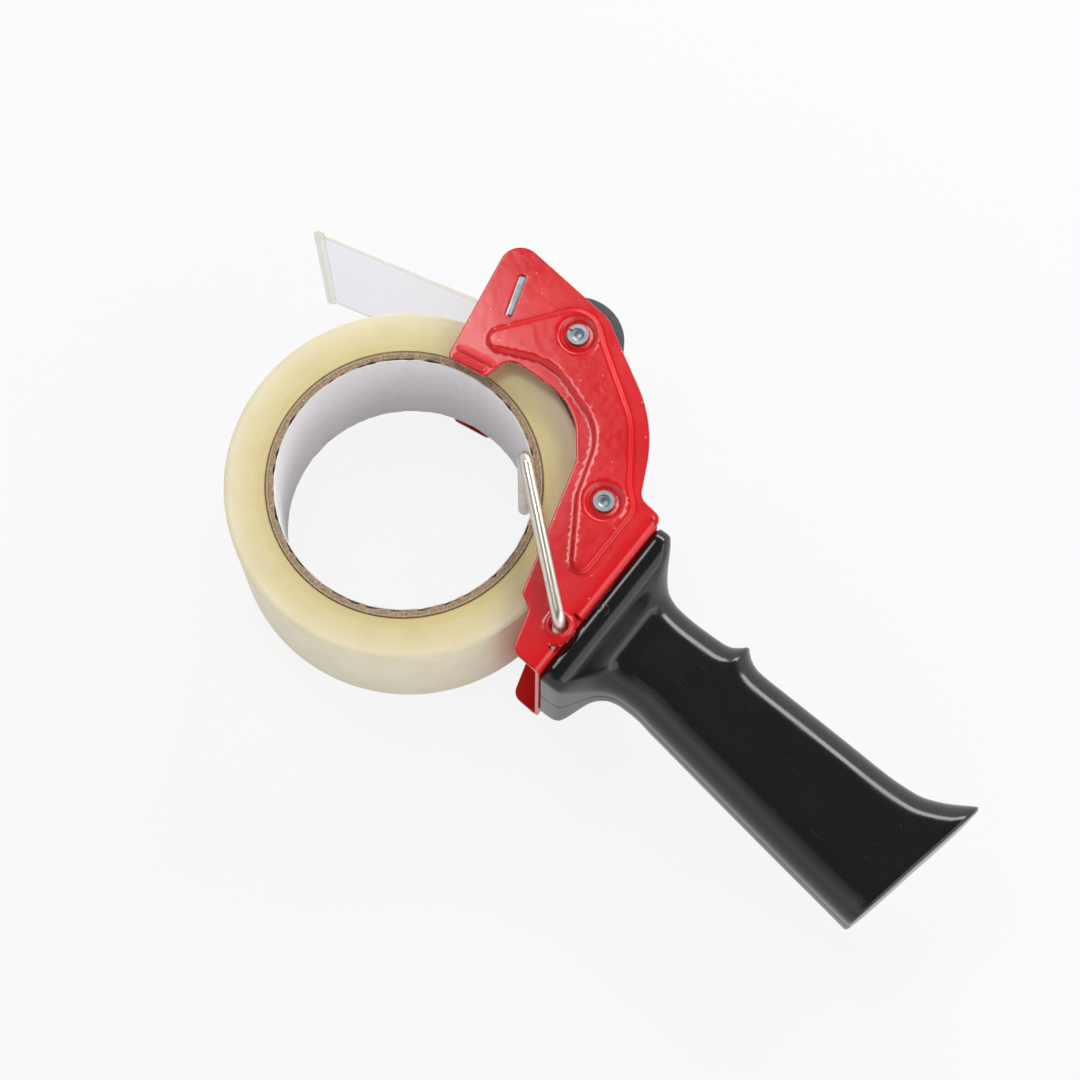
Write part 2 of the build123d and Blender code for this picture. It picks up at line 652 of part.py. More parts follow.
def handle_inside():
    """The hollow inside the handle."""
    grip = grip_body(HANDLE_WALL) - end_cut(HANDLE_WALL + 0.4)
    return block_body(HANDLE_WALL) + grip


def handle_half(outside, inside, near):
    """One moulded shell, with its screw bosses."""
    far = 2 * BLOCK_HALF_DEPTH
    low, high = (PARTING_GAP / 2, far) if near else (-far, -PARTING_GAP / 2)
    keep = box(3 * BLOCK_LEFT_X, 2 * BLOCK_RIGHT_X, 1.2 * HANDLE_END_Y, 0, low, high)
    shell = (outside & keep) - inside
    tang_low = WEB_FACE_Y + SHEET - TANG_DEPTH
    for x, y in SCREWS:
        face = SHEET / 2 if y > tang_low else 0.0
        low, high = (face, far) if near else (-far, -face)
        shell += rod(BOSS_RADIUS, low, high, x, y) & outside
    slot = SHEET / 2 + 0.05
    shell -= box(TANG_LEFT_X - 0.2, TANG_LEFT_X + TANG_WIDTH + 0.2,
                 WEB_FACE_Y - HANDLE_WALL - 1, WEB_FACE_Y + 1, -slot, slot)
    for x, y in SCREWS:
        if near:
            end = SCREW_SEAT_Z + SCREW_LENGTH + 0.5
            shell -= rod(SCREW_RADIUS + 0.05, -1, end, x, y)
        else:
            shell -= rod(SCREW_RADIUS + ROUND_GAP, SCREW_SEAT_Z - 1, 1, x, y)
            shell -= rod(SCREW_HEAD_RADIUS + ROUND_GAP, -far, SCREW_SEAT_Z - 0.02, x, y)
    return shell


def handle_screw(x, y):
    """A self-tapping screw with a cross recess in its head."""
    low = SCREW_SEAT_Z - SCREW_HEAD_HEIGHT
    head = rod(SCREW_HEAD_RADIUS, low, SCREW_SEAT_Z - 0.02)
    head = chamfer(head.edges().group_by(Axis.Z)[0], 0.8)
    screw = head + rod(SCREW_RADIUS, SCREW_SEAT_Z - 0.5, SCREW_SEAT_Z + SCREW_LENGTH)
    for angle in (0, 90):
        arm = box(-1.9, 1.9, -0.4, 0.4, low - 1, low + 1.3)
        screw -= Rot(0, 0, angle) * arm
    return Pos(x, y, 0) * screw


def handle_screws():
    """The screws that close the handle, set from the far side."""
    return [handle_screw(x, y) for x, y in SCREWS]


def build_nodes():
    """Every piece by its name."""
    outside = handle_outside()
    inside = handle_inside()
    return {
        "frame": frame(),
        "handle_near_half": handle_half(outside, inside, True),
        "handle_far_half": handle_half(outside, inside, False),
        "handle_screws": handle_screws(),
        "roller_axle": roller_axle(),
        "cross_pin": headed_pin(GUIDE_X, GUIDE_Y),
        "roller_sleeve": roller_sleeve(),
        "roller_core": roller_core(),
        "roller_bushes": roller_bushes(),
        "roller_washers": roller_washers(),
        "guide_sleeve": guide_sleeve(),
        "blade_holder": blade_holder(),
        "cutter_blade": cutter_blade(),
        "blade_rivets": blade_rivets(),
        "flap_retainer": flap_retainer(),
        "flap_rivets": flap_rivets(),
        "flap": flap(),
        "bail": bail(),
        "bail_washer": bail_washer(),
        "tape_ring": tape_ring(),
        "tape_core": tape_core(),
        "core_liner": core_liner(),
    }


def as_solids(piece):
    """The separate solids of a piece or of a list of pieces."""
    pieces = piece if isinstance(piece, list) else [piece]
    return [solid for item in pieces for solid in item.solids()]


def main():
    """Build all pieces, move them to the origin and write one file for each."""
    os.makedirs("parts", exist_ok=True)
    nodes = {name: as_solids(piece) for name, piece in build_nodes().items()}
    box_of_all = Compound([solid for solids in nodes.values() for solid in solids]).bounding_box()
    low = box_of_all.min
    high = box_of_all.max
    shift = Pos(-(low.X + high.X) / 2, -(low.Y + high.Y) / 2, -low.Z)
    print("origin moved by", shift.position)
    print("size", high - low)
    for name, solids in nodes.items():
        moved = [shift * solid for solid in solids]
        shape = moved[0] if len(moved) == 1 else Compound(moved)
        shape.label = name
        export_step(shape, f"parts/{name}.step")


main()
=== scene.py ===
# %% [markdown]
# A packing tape dispenser, dressed for its portrait. The engineering model is already
# exact, so Blender's work is the finish: stove enamel over pressed steel, black moulded
# plastic, wound tape, brown board, rubber and bright wire. Every piece is laid on the
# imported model, which moves it when a joint moves.

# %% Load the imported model
import bmesh
import bpy
import math
import numpy as np
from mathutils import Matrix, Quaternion, Vector, noise
from mathutils.geometry import delaunay_2d_cdt


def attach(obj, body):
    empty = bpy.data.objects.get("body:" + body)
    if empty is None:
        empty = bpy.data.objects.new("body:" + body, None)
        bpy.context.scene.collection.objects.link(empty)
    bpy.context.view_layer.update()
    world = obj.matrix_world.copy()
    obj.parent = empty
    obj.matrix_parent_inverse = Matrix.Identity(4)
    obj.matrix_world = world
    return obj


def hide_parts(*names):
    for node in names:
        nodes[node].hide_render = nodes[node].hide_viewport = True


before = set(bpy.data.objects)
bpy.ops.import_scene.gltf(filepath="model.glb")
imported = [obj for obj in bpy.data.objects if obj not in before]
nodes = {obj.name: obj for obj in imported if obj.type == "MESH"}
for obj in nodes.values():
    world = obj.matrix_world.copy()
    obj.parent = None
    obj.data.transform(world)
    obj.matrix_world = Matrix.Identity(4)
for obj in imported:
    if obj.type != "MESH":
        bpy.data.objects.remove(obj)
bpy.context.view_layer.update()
print("pieces in the packed model:", len(nodes))

# %% [markdown]
# All sizes below are millimetres on the maker's drawing, where the roll's axis is the
# origin, X runs along the web and Y towards the head. One function carries them into
# Blender's metres, so the numbers stay readable.

# %% From drawing millimetres to metres
DRAWING_ORIGIN = Vector((-13.4257, 60.3883, 31.4))


def at(x, y, z):
    """A drawing point in Blender's metres."""
    return (Vector((x, y, z)) + DRAWING_ORIGIN) / 1000


def smoothstep(value):
    """A soft ramp from 0 to 1."""
    value = np.clip(value, 0.0, 1.0)
    return value * value * (3 - 2 * value)


print("roll axis stands at", tuple(round(c, 4) for c in at(0, 0, 0)))

# %% [markdown]
# The camera is the one that took the photograph: a long lens, high above the object,
# which lies on its side. Its place was worked out from the ellipses of the tape roll.

# %% Camera
CAMERA_PLACE = (-0.174666, -0.112251, 0.822652)
CAMERA_TURN = Quaternion((0.89046689, 0.12205297, -0.06176554, -0.43400094))
LENS_MM = 91.013

camera_data = bpy.data.cameras.new("camera")
camera_data.lens = LENS_MM
camera_data.sensor_width = 36.0
camera_data.clip_start = 0.01
camera = bpy.data.objects.new("camera", camera_data)
camera.rotation_mode = "QUATERNION"
camera.location = CAMERA_PLACE
camera.rotation_quaternion = CAMERA_TURN
bpy.context.scene.collection.objects.link(camera)
bpy.context.scene.camera = camera
print("camera height", round(camera.location.z, 3), "m")

# %% [markdown]
# A material is a small machine of nodes. Two helpers keep the recipes short: one turns a
# colour written as on paper into the linear light that Blender adds up, and one places a
# node, sets it and plugs in its inputs.

# %% Colour and node helpers
def paint(hex_colour):
    """An sRGB hex colour as linear RGBA."""
    channels = [int(hex_colour[i:i + 2], 16) / 255 for i in (1, 3, 5)]
    linear = [c / 12.92 if c <= 0.04045 else ((c + 0.055) / 1.055) ** 2.4 for c in channels]
    return (*linear, 1.0)


def add(tree, kind, inputs=None, **settings):
    """A node with its settings; inputs are values or the sockets that feed them."""
    node = tree.nodes.new(kind)
    for key, value in settings.items():
        setattr(node, key, value)
    for key, value in (inputs or {}).items():
        if isinstance(value, bpy.types.NodeSocket):
            tree.links.new(value, node.inputs[key])
        else:
            node.inputs[key].default_value = value
    return node


def new_material(name):
    """An empty material, with no nodes yet, and its node tree."""
    material = bpy.data.materials.new(name)
    material.use_nodes = True
    tree = material.node_tree
    tree.nodes.clear()
    return material, tree


def finish_material(tree, shader):
    """Plug the surface into the output."""
    add(tree, "ShaderNodeOutputMaterial", {"Surface": shader.outputs[0]})


def place_mm(tree):
    """The place on the object in millimetres, for patterns with a real scale."""
    where = add(tree, "ShaderNodeTexCoord")
    return add(tree, "ShaderNodeVectorMath", {0: where.outputs["Object"],
               1: (1000.0, 1000.0, 1000.0)}, operation="MULTIPLY").outputs[0]


def ramp(tree, factor, stops):
    """A colour ramp from (position, colour) stops."""
    node = add(tree, "ShaderNodeValToRGB", {"Fac": factor})
    elements = node.color_ramp.elements
    while len(elements) < len(stops):
        elements.new(0.5)
    for element, (position, colour) in zip(elements, stops):
        element.position = position
        element.color = colour
    return node.outputs["Color"]


def grey(level):
    """A grey that carries a plain number, for roughness and for masks."""
    return (level, level, level, 1.0)


print("the red reads as", tuple(round(c, 3) for c in paint("#DA1219")))

# %% [markdown]
# The stamping is mild steel sprayed with red enamel and baked. Enamel flows out to a
# deep gloss, but keeps a faint orange peel, a ripple of a few millimetres, and it chips
# at the cut edges, where a spot of bright steel shows. A darker red is painted along the
# cut edges as painted shade, for the dark line where the rounded edge turns from the
# light. Small pale nicks and dark specks lie over the rest. The attribute "edge", which
# the mesh carries, says how near a point is to a cut edge.

# %% Red stove enamel
ORANGE_PEEL_MM = 3.0
DRIFT_MM = 26.0
CHIP_MM = 0.9
SPECK_MM = 7.0
NICK_MM = 3.5


def red_enamel():
    material, tree = new_material("red_stove_enamel")
    place = place_mm(tree)
    peel = add(tree, "ShaderNodeTexNoise", {"Vector": place, "Scale": 1 / ORANGE_PEEL_MM,
               "Detail": 1.5, "Roughness": 0.4})
    drift = add(tree, "ShaderNodeTexNoise", {"Vector": place, "Scale": 1 / DRIFT_MM,
                "Detail": 2.0})
    chips = add(tree, "ShaderNodeTexNoise", {"Vector": place, "Scale": 1 / CHIP_MM,
                "Detail": 3.0, "Roughness": 0.7})
    edge = add(tree, "ShaderNodeAttribute", attribute_name="edge")
    edge_value = add(tree, "ShaderNodeMath", {0: edge.outputs["Fac"], 1: chips.outputs["Fac"]},
                     operation="MULTIPLY")
    bare = ramp(tree, edge_value.outputs[0], [(0.53, grey(0.0)), (0.57, grey(1.0))])
    # Painted shade: a darker red along the cut edges stands for the dark line where the rounded edge
    # turns from the light.
    painted_edge_shade = ramp(tree, edge.outputs["Fac"], [(0.25, grey(0.0)), (1.0, grey(1.0))])
    body = ramp(tree, drift.outputs["Fac"], [(0.35, paint("#D91018")), (0.68, paint("#E4161C"))])
    edged = add(tree, "ShaderNodeMix", {"Factor": painted_edge_shade, "A": body, "B": paint("#9C1214")},
                data_type="RGBA")
    speck_noise = add(tree, "ShaderNodeTexVoronoi", {"Vector": place, "Scale": 1 / SPECK_MM})
    specks = ramp(tree, speck_noise.outputs["Distance"], [(0.022, grey(1.0)), (0.034, grey(0.0))])
    specked = add(tree, "ShaderNodeMix", {"Factor": specks, "A": edged.outputs["Result"],
                  "B": paint("#6B1A16")}, data_type="RGBA")
    nick_noise = add(tree, "ShaderNodeTexVoronoi", {"Vector": place, "Scale": 1 / NICK_MM})
    nicks = ramp(tree, nick_noise.outputs["Distance"], [(0.045, grey(0.8)), (0.075, grey(0.0))])
    nicked = add(tree, "ShaderNodeMix", {"Factor": nicks, "A": specked.outputs["Result"],
                 "B": paint("#E9B4B0")}, data_type="RGBA")
    colour = add(tree, "ShaderNodeMix", {"Factor": bare, "A": nicked.outputs["Result"],
                 "B": paint("#D6C6C2")}, data_type="RGBA")
    sheen = ramp(tree, drift.outputs["Fac"], [(0.3, grey(0.15)),
                 (0.7, grey(0.22))])
    rough = add(tree, "ShaderNodeMix", {"Factor": bare, "A": sheen, "B": grey(0.45)},
                data_type="RGBA")
    bump = add(tree, "ShaderNodeBump", {"Height": peel.outputs["Fac"], "Strength": 0.13,
               "Distance": 0.0004})
    shader = add(tree, "ShaderNodeBsdfPrincipled", {"Base Color": colour.outputs["Result"],
                 "Roughness": rough.outputs["Result"], "Normal": bump.outputs["Normal"],
                 "IOR": 1.5, "Coat Weight": 0.3, "Coat Roughness": 0.08})
    finish_material(tree, shader)
    return material


enamel = red_enamel()
print("made", enamel.name)

# %% [markdown]
# The grip is injection moulded in black ABS from a polished tool, so it mirrors the
# lamps with a soft edge. Use has greyed it with fine rubbed lines and a little dust.

# %% Black moulded ABS
def black_abs():
    material, tree = new_material("black_moulded_abs")
    place = place_mm(tree)
    stretched = add(tree, "ShaderNodeMapping", {"Vector": place, "Rotation": (0.2, 0.5, 0.7),
                    "Scale": (0.9, 0.05, 0.9)})
    scratches = add(tree, "ShaderNodeTexNoise", {"Vector": stretched.outputs[0], "Scale": 2.6,
                    "Detail": 4.0, "Roughness": 0.75})
    haze = add(tree, "ShaderNodeTexNoise", {"Vector": place, "Scale": 1 / 14.0, "Detail": 5.0,
               "Roughness": 0.65})
    rough = ramp(tree, haze.outputs["Fac"], [(0.3, grey(0.11)),
                 (0.75, grey(0.19))])
    dust = add(tree, "ShaderNodeTexNoise", {"Vector": place, "Scale": 1.1, "Detail": 2.0})
    dusty = ramp(tree, dust.outputs["Fac"], [(0.72, paint("#161614")), (0.78, paint("#444446"))])
    rubbed = ramp(tree, scratches.outputs["Fac"], [(0.57, grey(0.0)), (0.72, grey(0.6))])
    colour = add(tree, "ShaderNodeMix", {"Factor": rubbed, "A": dusty, "B": paint("#333331")},
                 data_type="RGBA")
    bump = add(tree, "ShaderNodeBump", {"Height": scratches.outputs["Fac"], "Strength": 0.03,
               "Distance": 0.0002})
    shader = add(tree, "ShaderNodeBsdfPrincipled", {"Base Color": colour.outputs["Result"],
                 "Roughness": rough, "Normal": bump.outputs["Normal"], "IOR": 1.54})
    finish_material(tree, shader)
    return material


abs_black = black_abs()
print("made", abs_black.name)

# %% [markdown]
# Two plated metals and one bare one. Zinc on the pins, rivets and pressed strips is
# bluish grey and cloudy, so it never flashes white. Nickel on the drawn wire is warmer
# and smooth. The blade is ground, hardened steel, a little darker.

# %% Zinc, nickel and blade steel
def plated_metal(name, light, dark, roughness, cloud_mm, stretch, ripple):
    """A metal whose tone and gloss drift in clouds, or in lines where stretched."""
    material, tree = new_material(name)
    place = place_mm(tree)
    mapped = add(tree, "ShaderNodeMapping", {"Vector": place, "Scale": stretch})
    cloud = add(tree, "ShaderNodeTexNoise", {"Vector": mapped.outputs[0], "Scale": 1 / cloud_mm,
                "Detail": 4.0, "Roughness": 0.6})
    colour = ramp(tree, cloud.outputs["Fac"], [(0.3, paint(dark)), (0.7, paint(light))])
    rough = ramp(tree, cloud.outputs["Fac"], [(0.3, grey(roughness + 0.1)),
                 (0.7, grey(roughness))])
    bump = add(tree, "ShaderNodeBump", {"Height": cloud.outputs["Fac"], "Strength": ripple,
               "Distance": 0.0002})
    shader = add(tree, "ShaderNodeBsdfPrincipled", {"Base Color": colour, "Metallic": 1.0,
                 "Roughness": rough, "Normal": bump.outputs["Normal"]})
    finish_material(tree, shader)
    return material


zinc = plated_metal("zinc_plated_steel", "#AEB5B9", "#8C9499", 0.38, 2.2, (1, 1, 1), 0.05)
nickel = plated_metal("nickel_plated_wire", "#E8E1D5", "#D6CDBF", 0.27, 6.0, (1, 1, 1), 0.005)
blade_steel = plated_metal("hardened_blade_steel", "#B4B9BE", "#868C93", 0.33, 1.2, (1, 1, 0.2),
                           0.06)
print("made", zinc.name, nickel.name, blade_steel.name)

# %% [markdown]
# The roller's tyre is black rubber, ground to size, so it is matt with a fine grain. The
# dust it holds turns it dark grey. The tube inside it is a pale acetal moulding that hardly shows.

# %% Rubber and acetal
def ground_rubber():
    material, tree = new_material("ground_black_rubber")
    place = place_mm(tree)
    grain = add(tree, "ShaderNodeTexNoise", {"Vector": place, "Scale": 2.4, "Detail": 4.0})
    dust = add(tree, "ShaderNodeTexNoise", {"Vector": place, "Scale": 0.9, "Detail": 5.0,
               "Roughness": 0.8})
    colour = ramp(tree, dust.outputs["Fac"], [(0.3, paint("#3F4143")), (0.6, paint("#535659")),
                  (0.75, paint("#8E8F8F"))])
    bump = add(tree, "ShaderNodeBump", {"Height": grain.outputs["Fac"], "Strength": 0.3,
               "Distance": 0.0002})
    shader = add(tree, "ShaderNodeBsdfPrincipled", {"Base Color": colour, "Roughness": 0.68,
                 "Normal": bump.outputs["Normal"]})
    finish_material(tree, shader)
    return material


def pale_acetal():
    material, tree = new_material("moulded_acetal")
    place = place_mm(tree)
    cloud = add(tree, "ShaderNodeTexNoise", {"Vector": place, "Scale": 0.3, "Detail": 3.0})
    colour = ramp(tree, cloud.outputs["Fac"], [(0.3, paint("#CFCBC2")), (0.7, paint("#DEDAD2"))])
    shader = add(tree, "ShaderNodeBsdfPrincipled", {"Base Color": colour, "Roughness": 0.4})
    finish_material(tree, shader)
    return material


rubber = ground_rubber()
acetal = pale_acetal()
print("made", rubber.name, acetal.name)

# %% [markdown]
# Packing tape is clear film with adhesive. Wound up, hundreds of turns add to a straw
# colour that is deeper near the core, where light has further to go, and each turn's
# edge draws a hair-thin ring on the roll's side. The rings are one-dimensional noise
# read by the distance from the roll's axis. The real film is 0.05 mm thick, too fine to
# show, so the rings here are 0.8 mm apart.

# %% Wound tape
ROLL_CENTRE = tuple(at(0, 0, 0))
RING_MM = 0.8


def radius_mm(tree):
    """The distance from the roll's axis, in millimetres."""
    where = add(tree, "ShaderNodeTexCoord")
    centred = add(tree, "ShaderNodeVectorMath", {0: where.outputs["Object"], 1: ROLL_CENTRE},
                  operation="SUBTRACT")
    flat = add(tree, "ShaderNodeVectorMath", {0: centred.outputs[0], 1: (1000.0, 1000.0, 0.0)},
               operation="MULTIPLY")
    length = add(tree, "ShaderNodeVectorMath", {0: flat.outputs[0]}, operation="LENGTH")
    return length.outputs["Value"]


def wound_tape():
    material, tree = new_material("wound_packing_tape")
    radius = radius_mm(tree)
    depth = add(tree, "ShaderNodeMapRange", {"Value": radius, "From Min": 40.9, "From Max": 53.0})
    body = ramp(tree, depth.outputs[0], [(0.0, paint("#DDC98A")), (0.3, paint("#E6D69F")),
                (0.75, paint("#EFE3B9")), (1.0, paint("#F4EBCD"))])
    rings = add(tree, "ShaderNodeTexNoise", {"W": radius, "Scale": 1 / RING_MM, "Detail": 3.0,
                "Roughness": 0.7}, noise_dimensions="1D")
    place = place_mm(tree)
    blotch = add(tree, "ShaderNodeTexNoise", {"Vector": place, "Scale": 1 / 9.0, "Detail": 4.0})
    ring_mask = ramp(tree, rings.outputs["Fac"], [(0.42, grey(0.0)), (0.78, grey(0.13))])
    ringed = add(tree, "ShaderNodeMix", {"Factor": ring_mask, "A": body, "B": paint("#B99C58")},
                 data_type="RGBA")
    blotch_mask = ramp(tree, blotch.outputs["Fac"], [(0.45, grey(0.0)), (0.85, grey(0.20))])
    toned = add(tree, "ShaderNodeMix", {"Factor": blotch_mask, "A": ringed.outputs["Result"],
                "B": paint("#C9AE6B")}, data_type="RGBA")
    speck_noise = add(tree, "ShaderNodeTexVoronoi", {"Vector": place, "Scale": 1 / 4.5})
    specks = ramp(tree, speck_noise.outputs["Distance"], [(0.02, grey(0.7)),
                  (0.05, grey(0.0))])
    colour = add(tree, "ShaderNodeMix", {"Factor": specks, "A": toned.outputs["Result"],
                 "B": paint("#A98B55")}, data_type="RGBA")
    bump = add(tree, "ShaderNodeBump", {"Height": rings.outputs["Fac"], "Strength": 0.08,
               "Distance": 0.0003})
    shader = add(tree, "ShaderNodeBsdfPrincipled", {"Base Color": colour.outputs["Result"],
                 "Roughness": 0.38, "Normal": bump.outputs["Normal"], "IOR": 1.49,
                 "Subsurface Weight": 0.25, "Subsurface Radius": (0.004, 0.003, 0.0015),
                 "Subsurface Scale": 0.5})
    finish_material(tree, shader)
    return material


tape = wound_tape()
print("made", tape.name)

# %% [markdown]
# The core is spiral-wound kraft board. Its cut end is rough, with pale torn fibres, and
# a white ply of paper lines the bore, with the faint seam of its own winding.

# %% Kraft board and white lining paper
SPIRAL_PITCH_MM = 96.0
PLY_MM = 0.45


def kraft_board():
    material, tree = new_material("kraft_core_board")
    radius = radius_mm(tree)
    place = place_mm(tree)
    plies = add(tree, "ShaderNodeTexNoise", {"W": radius, "Scale": 1 / PLY_MM, "Detail": 2.0},
                noise_dimensions="1D")
    fibre = add(tree, "ShaderNodeTexNoise", {"Vector": place, "Scale": 1.3, "Detail": 6.0,
                "Roughness": 0.75})
    both = add(tree, "ShaderNodeMath", {0: plies.outputs["Fac"], 1: fibre.outputs["Fac"]},
               operation="ADD")
    mean = add(tree, "ShaderNodeMath", {0: both.outputs[0], 1: 0.5}, operation="MULTIPLY")
    colour = ramp(tree, mean.outputs[0], [(0.41, paint("#7C674E")), (0.5, paint("#B09675")),
                  (0.58, paint("#C8AF91"))])
    torn = ramp(tree, fibre.outputs["Fac"], [(0.60, grey(0.0)), (0.66, grey(1.0))])
    mixed = add(tree, "ShaderNodeMix", {"Factor": torn, "A": colour, "B": paint("#E6DCCB")},
                data_type="RGBA")
    bump = add(tree, "ShaderNodeBump", {"Height": fibre.outputs["Fac"], "Strength": 0.6,
               "Distance": 0.0005})
    shader = add(tree, "ShaderNodeBsdfPrincipled", {"Base Color": mixed.outputs["Result"],
                 "Roughness": 0.85, "Normal": bump.outputs["Normal"]})
    finish_material(tree, shader)
    return material


def lining_paper():
    material, tree = new_material("white_lining_paper")
    where = add(tree, "ShaderNodeTexCoord")
    centred = add(tree, "ShaderNodeVectorMath", {0: where.outputs["Object"], 1: ROLL_CENTRE},
                  operation="SUBTRACT")
    axes = add(tree, "ShaderNodeSeparateXYZ", {0: centred.outputs[0]})
    angle = add(tree, "ShaderNodeMath", {0: axes.outputs["Y"], 1: axes.outputs["X"]},
                operation="ARCTAN2")
    turn = add(tree, "ShaderNodeMath", {0: angle.outputs[0], 1: 1 / (2 * math.pi)},
               operation="MULTIPLY")
    rise = add(tree, "ShaderNodeMath", {0: axes.outputs["Z"], 1: 1000 / SPIRAL_PITCH_MM},
               operation="MULTIPLY")
    spiral = add(tree, "ShaderNodeMath", {0: turn.outputs[0], 1: rise.outputs[0]}, operation="ADD")
    wrapped = add(tree, "ShaderNodeMath", {0: spiral.outputs[0]}, operation="FRACT")
    seam = ramp(tree, wrapped.outputs[0], [(0.0, grey(0.35)), (0.004, grey(0.0)),
                (1.0, grey(0.0))])
    place = place_mm(tree)
    fibre = add(tree, "ShaderNodeTexNoise", {"Vector": place, "Scale": 0.8, "Detail": 6.0,
                "Roughness": 0.7})
    body = ramp(tree, fibre.outputs["Fac"], [(0.3, paint("#EDEAEB")), (0.7, paint("#F5F3F4"))])
    colour = add(tree, "ShaderNodeMix", {"Factor": seam, "A": body, "B": paint("#A89F97")},
                 data_type="RGBA")
    bump = add(tree, "ShaderNodeBump", {"Height": fibre.outputs["Fac"], "Strength": 0.12,
               "Distance": 0.0003})
    shader = add(tree, "ShaderNodeBsdfPrincipled", {"Base Color": colour.outputs["Result"],
                 "Roughness": 0.75, "Normal": bump.outputs["Normal"]})
    finish_material(tree, shader)
    return material


kraft = kraft_board()
lining = lining_paper()
print("made", kraft.name, lining.name)

# %% [markdown]
# The flap is extruded from clear soft PVC. Seen flat on it is nearly invisible, and its
# cut edges and its bead are a milky yellow, because light travels along the sheet. A
# renderer loses that light at PVC's real IOR of 1.53 and draws the edges black, so the
# body hardly bends light, a thin coat keeps the gloss, the mesh's "edge" attribute
# tints the edges, and a little of the surface scatters.

# %% Clear PVC
def clear_pvc():
    material, tree = new_material("clear_soft_pvc")
    place = place_mm(tree)
    flow = add(tree, "ShaderNodeMapping", {"Vector": place, "Scale": (0.5, 0.5, 0.03)})
    lines = add(tree, "ShaderNodeTexNoise", {"Vector": flow.outputs[0], "Scale": 1.2,
                "Detail": 4.0})
    rough = ramp(tree, lines.outputs["Fac"], [(0.3, grey(0.03)), (0.7, grey(0.09))])
    edge = add(tree, "ShaderNodeAttribute", attribute_name="edge")
    colour = ramp(tree, edge.outputs["Fac"], [(0.0, paint("#F5F4FA")), (1.0, paint("#DEDAC6"))])
    bump = add(tree, "ShaderNodeBump", {"Height": lines.outputs["Fac"], "Strength": 0.1,
               "Distance": 0.0002})
    shader = add(tree, "ShaderNodeBsdfPrincipled", {"Base Color": colour,
                 "Roughness": rough, "Normal": bump.outputs["Normal"], "IOR": 1.02,
                 "Transmission Weight": 0.88, "Coat Weight": 0.25, "Coat Roughness": 0.05})
    finish_material(tree, shader)
    return material


pvc = clear_pvc()
print("made", pvc.name)

# %% [markdown]
# Pieces are made as plain lists of points and faces, in drawing millimetres. This helper
# turns such lists into a Blender object, gives it its finish, ties it to the body that
# carries it and hides the engineering node that it stands for.

# %% Mesh piece helper
def mesh_piece(name, points, faces, body, slot, material, stands_for=(), sharp=35.0):
    """A mesh object from drawing points, riding on a body."""
    mesh = bpy.data.meshes.new(name)
    mesh.from_pydata([tuple(at(*point)) for point in points], [], faces)
    mesh.validate()
    mesh.update()
    work = bmesh.new()
    work.from_mesh(mesh)
    bmesh.ops.recalc_face_normals(work, faces=work.faces)
    for face in work.faces:
        face.smooth = True
    work.to_mesh(mesh)
    work.free()
    mesh.set_sharp_from_angle(angle=math.radians(sharp))
    piece = bpy.data.objects.new(name, mesh)
    bpy.context.scene.collection.objects.link(piece)
    mesh.materials.append(material)
    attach(piece, body)
    if stands_for:
        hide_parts(*stands_for)
    print(name, len(mesh.polygons), "faces")
    return piece


def set_attribute(piece, name, values):
    """Store one number for each vertex, which a material can read."""
    layer = piece.data.attributes.new(name, "FLOAT", "POINT")
    layer.data.foreach_set("value", np.asarray(values, dtype=np.float32))


# %% [markdown]
# Outlines are drawn as a toolmaker draws them: corners, each with a radius. The helper
# walks round and puts a point every half millimetre or so, with real arcs at the corners.

# %% Outline helpers
def rounded_loop(corners, step=0.5):
    """Points round a closed outline with rounded corners."""
    count = len(corners)
    points = []
    for i in range(count):
        before = np.array(corners[i - 1][:2], float)
        here = np.array(corners[i][:2], float)
        after = np.array(corners[(i + 1) % count][:2], float)
        radius = corners[i][2]
        into = (here - before) / np.linalg.norm(here - before)
        out = (after - here) / np.linalg.norm(after - here)
        turn = math.atan2(into[0] * out[1] - into[1] * out[0], float(into @ out))
        reach = radius * math.tan(abs(turn) / 2)
        start = here - into * reach
        side = np.array((-into[1], into[0])) * math.copysign(1, turn)
        centre = start + side * radius
        steps = max(1, int(math.ceil(abs(turn) * max(radius, 0.01) / step)),
                    int(abs(turn) / 0.2) if radius > 0.2 else 1)
        for k in range(steps + 1):
            angle = turn * k / steps
            spoke = start - centre
            c, s = math.cos(angle), math.sin(angle)
            points.append(centre + (spoke[0] * c - spoke[1] * s, spoke[0] * s + spoke[1] * c))
    return even_steps(points, step)


def even_steps(points, step):
    """Split the long runs of a closed loop, and drop doubled points."""
    result = []
    for i, here in enumerate(points):
        after = points[(i + 1) % len(points)]
        length = np.linalg.norm(np.subtract(after, here))
        if length < 0.02:
            continue
        pieces = max(1, int(round(length / step)))
        for k in range(pieces):
            result.append(np.array(here) + (np.array(after) - here) * k / pieces)
    return np.array(result)


def circle_loop(x, y, radius, count=48):
    """Points round a circle."""
    turn = np.linspace(0, 2 * math.pi, count, endpoint=False)
    return np.stack([x + radius * np.cos(turn), y + radius * np.sin(turn)], axis=1)


def edge_distance(points, loop, closed=True):
    """The distance from each point to the nearest stretch of a loop."""
    starts = loop if closed else loop[:-1]
    ends = np.roll(loop, -1, axis=0) if closed else loop[1:]
    best = np.full(len(points), 1e9)
    for a, b in zip(starts, ends):
        run = b - a
        along = np.clip(((points - a) @ run) / max(float(run @ run), 1e-12), 0, 1)
        best = np.minimum(best, np.linalg.norm(points - a - along[:, None] * run, axis=1))
    return best


def inside(points, loop):
    """Which points lie inside a closed loop."""
    x, y = points[:, 0], points[:, 1]
    result = np.zeros(len(points), bool)
    for a, b in zip(loop, np.roll(loop, -1, axis=0)):
        if a[1] == b[1]:
            continue
        crosses = (a[1] > y) != (b[1] > y)
        result ^= crosses & (x < (b[0] - a[0]) * (y - a[1]) / (b[1] - a[1]) + a[0])
    return result


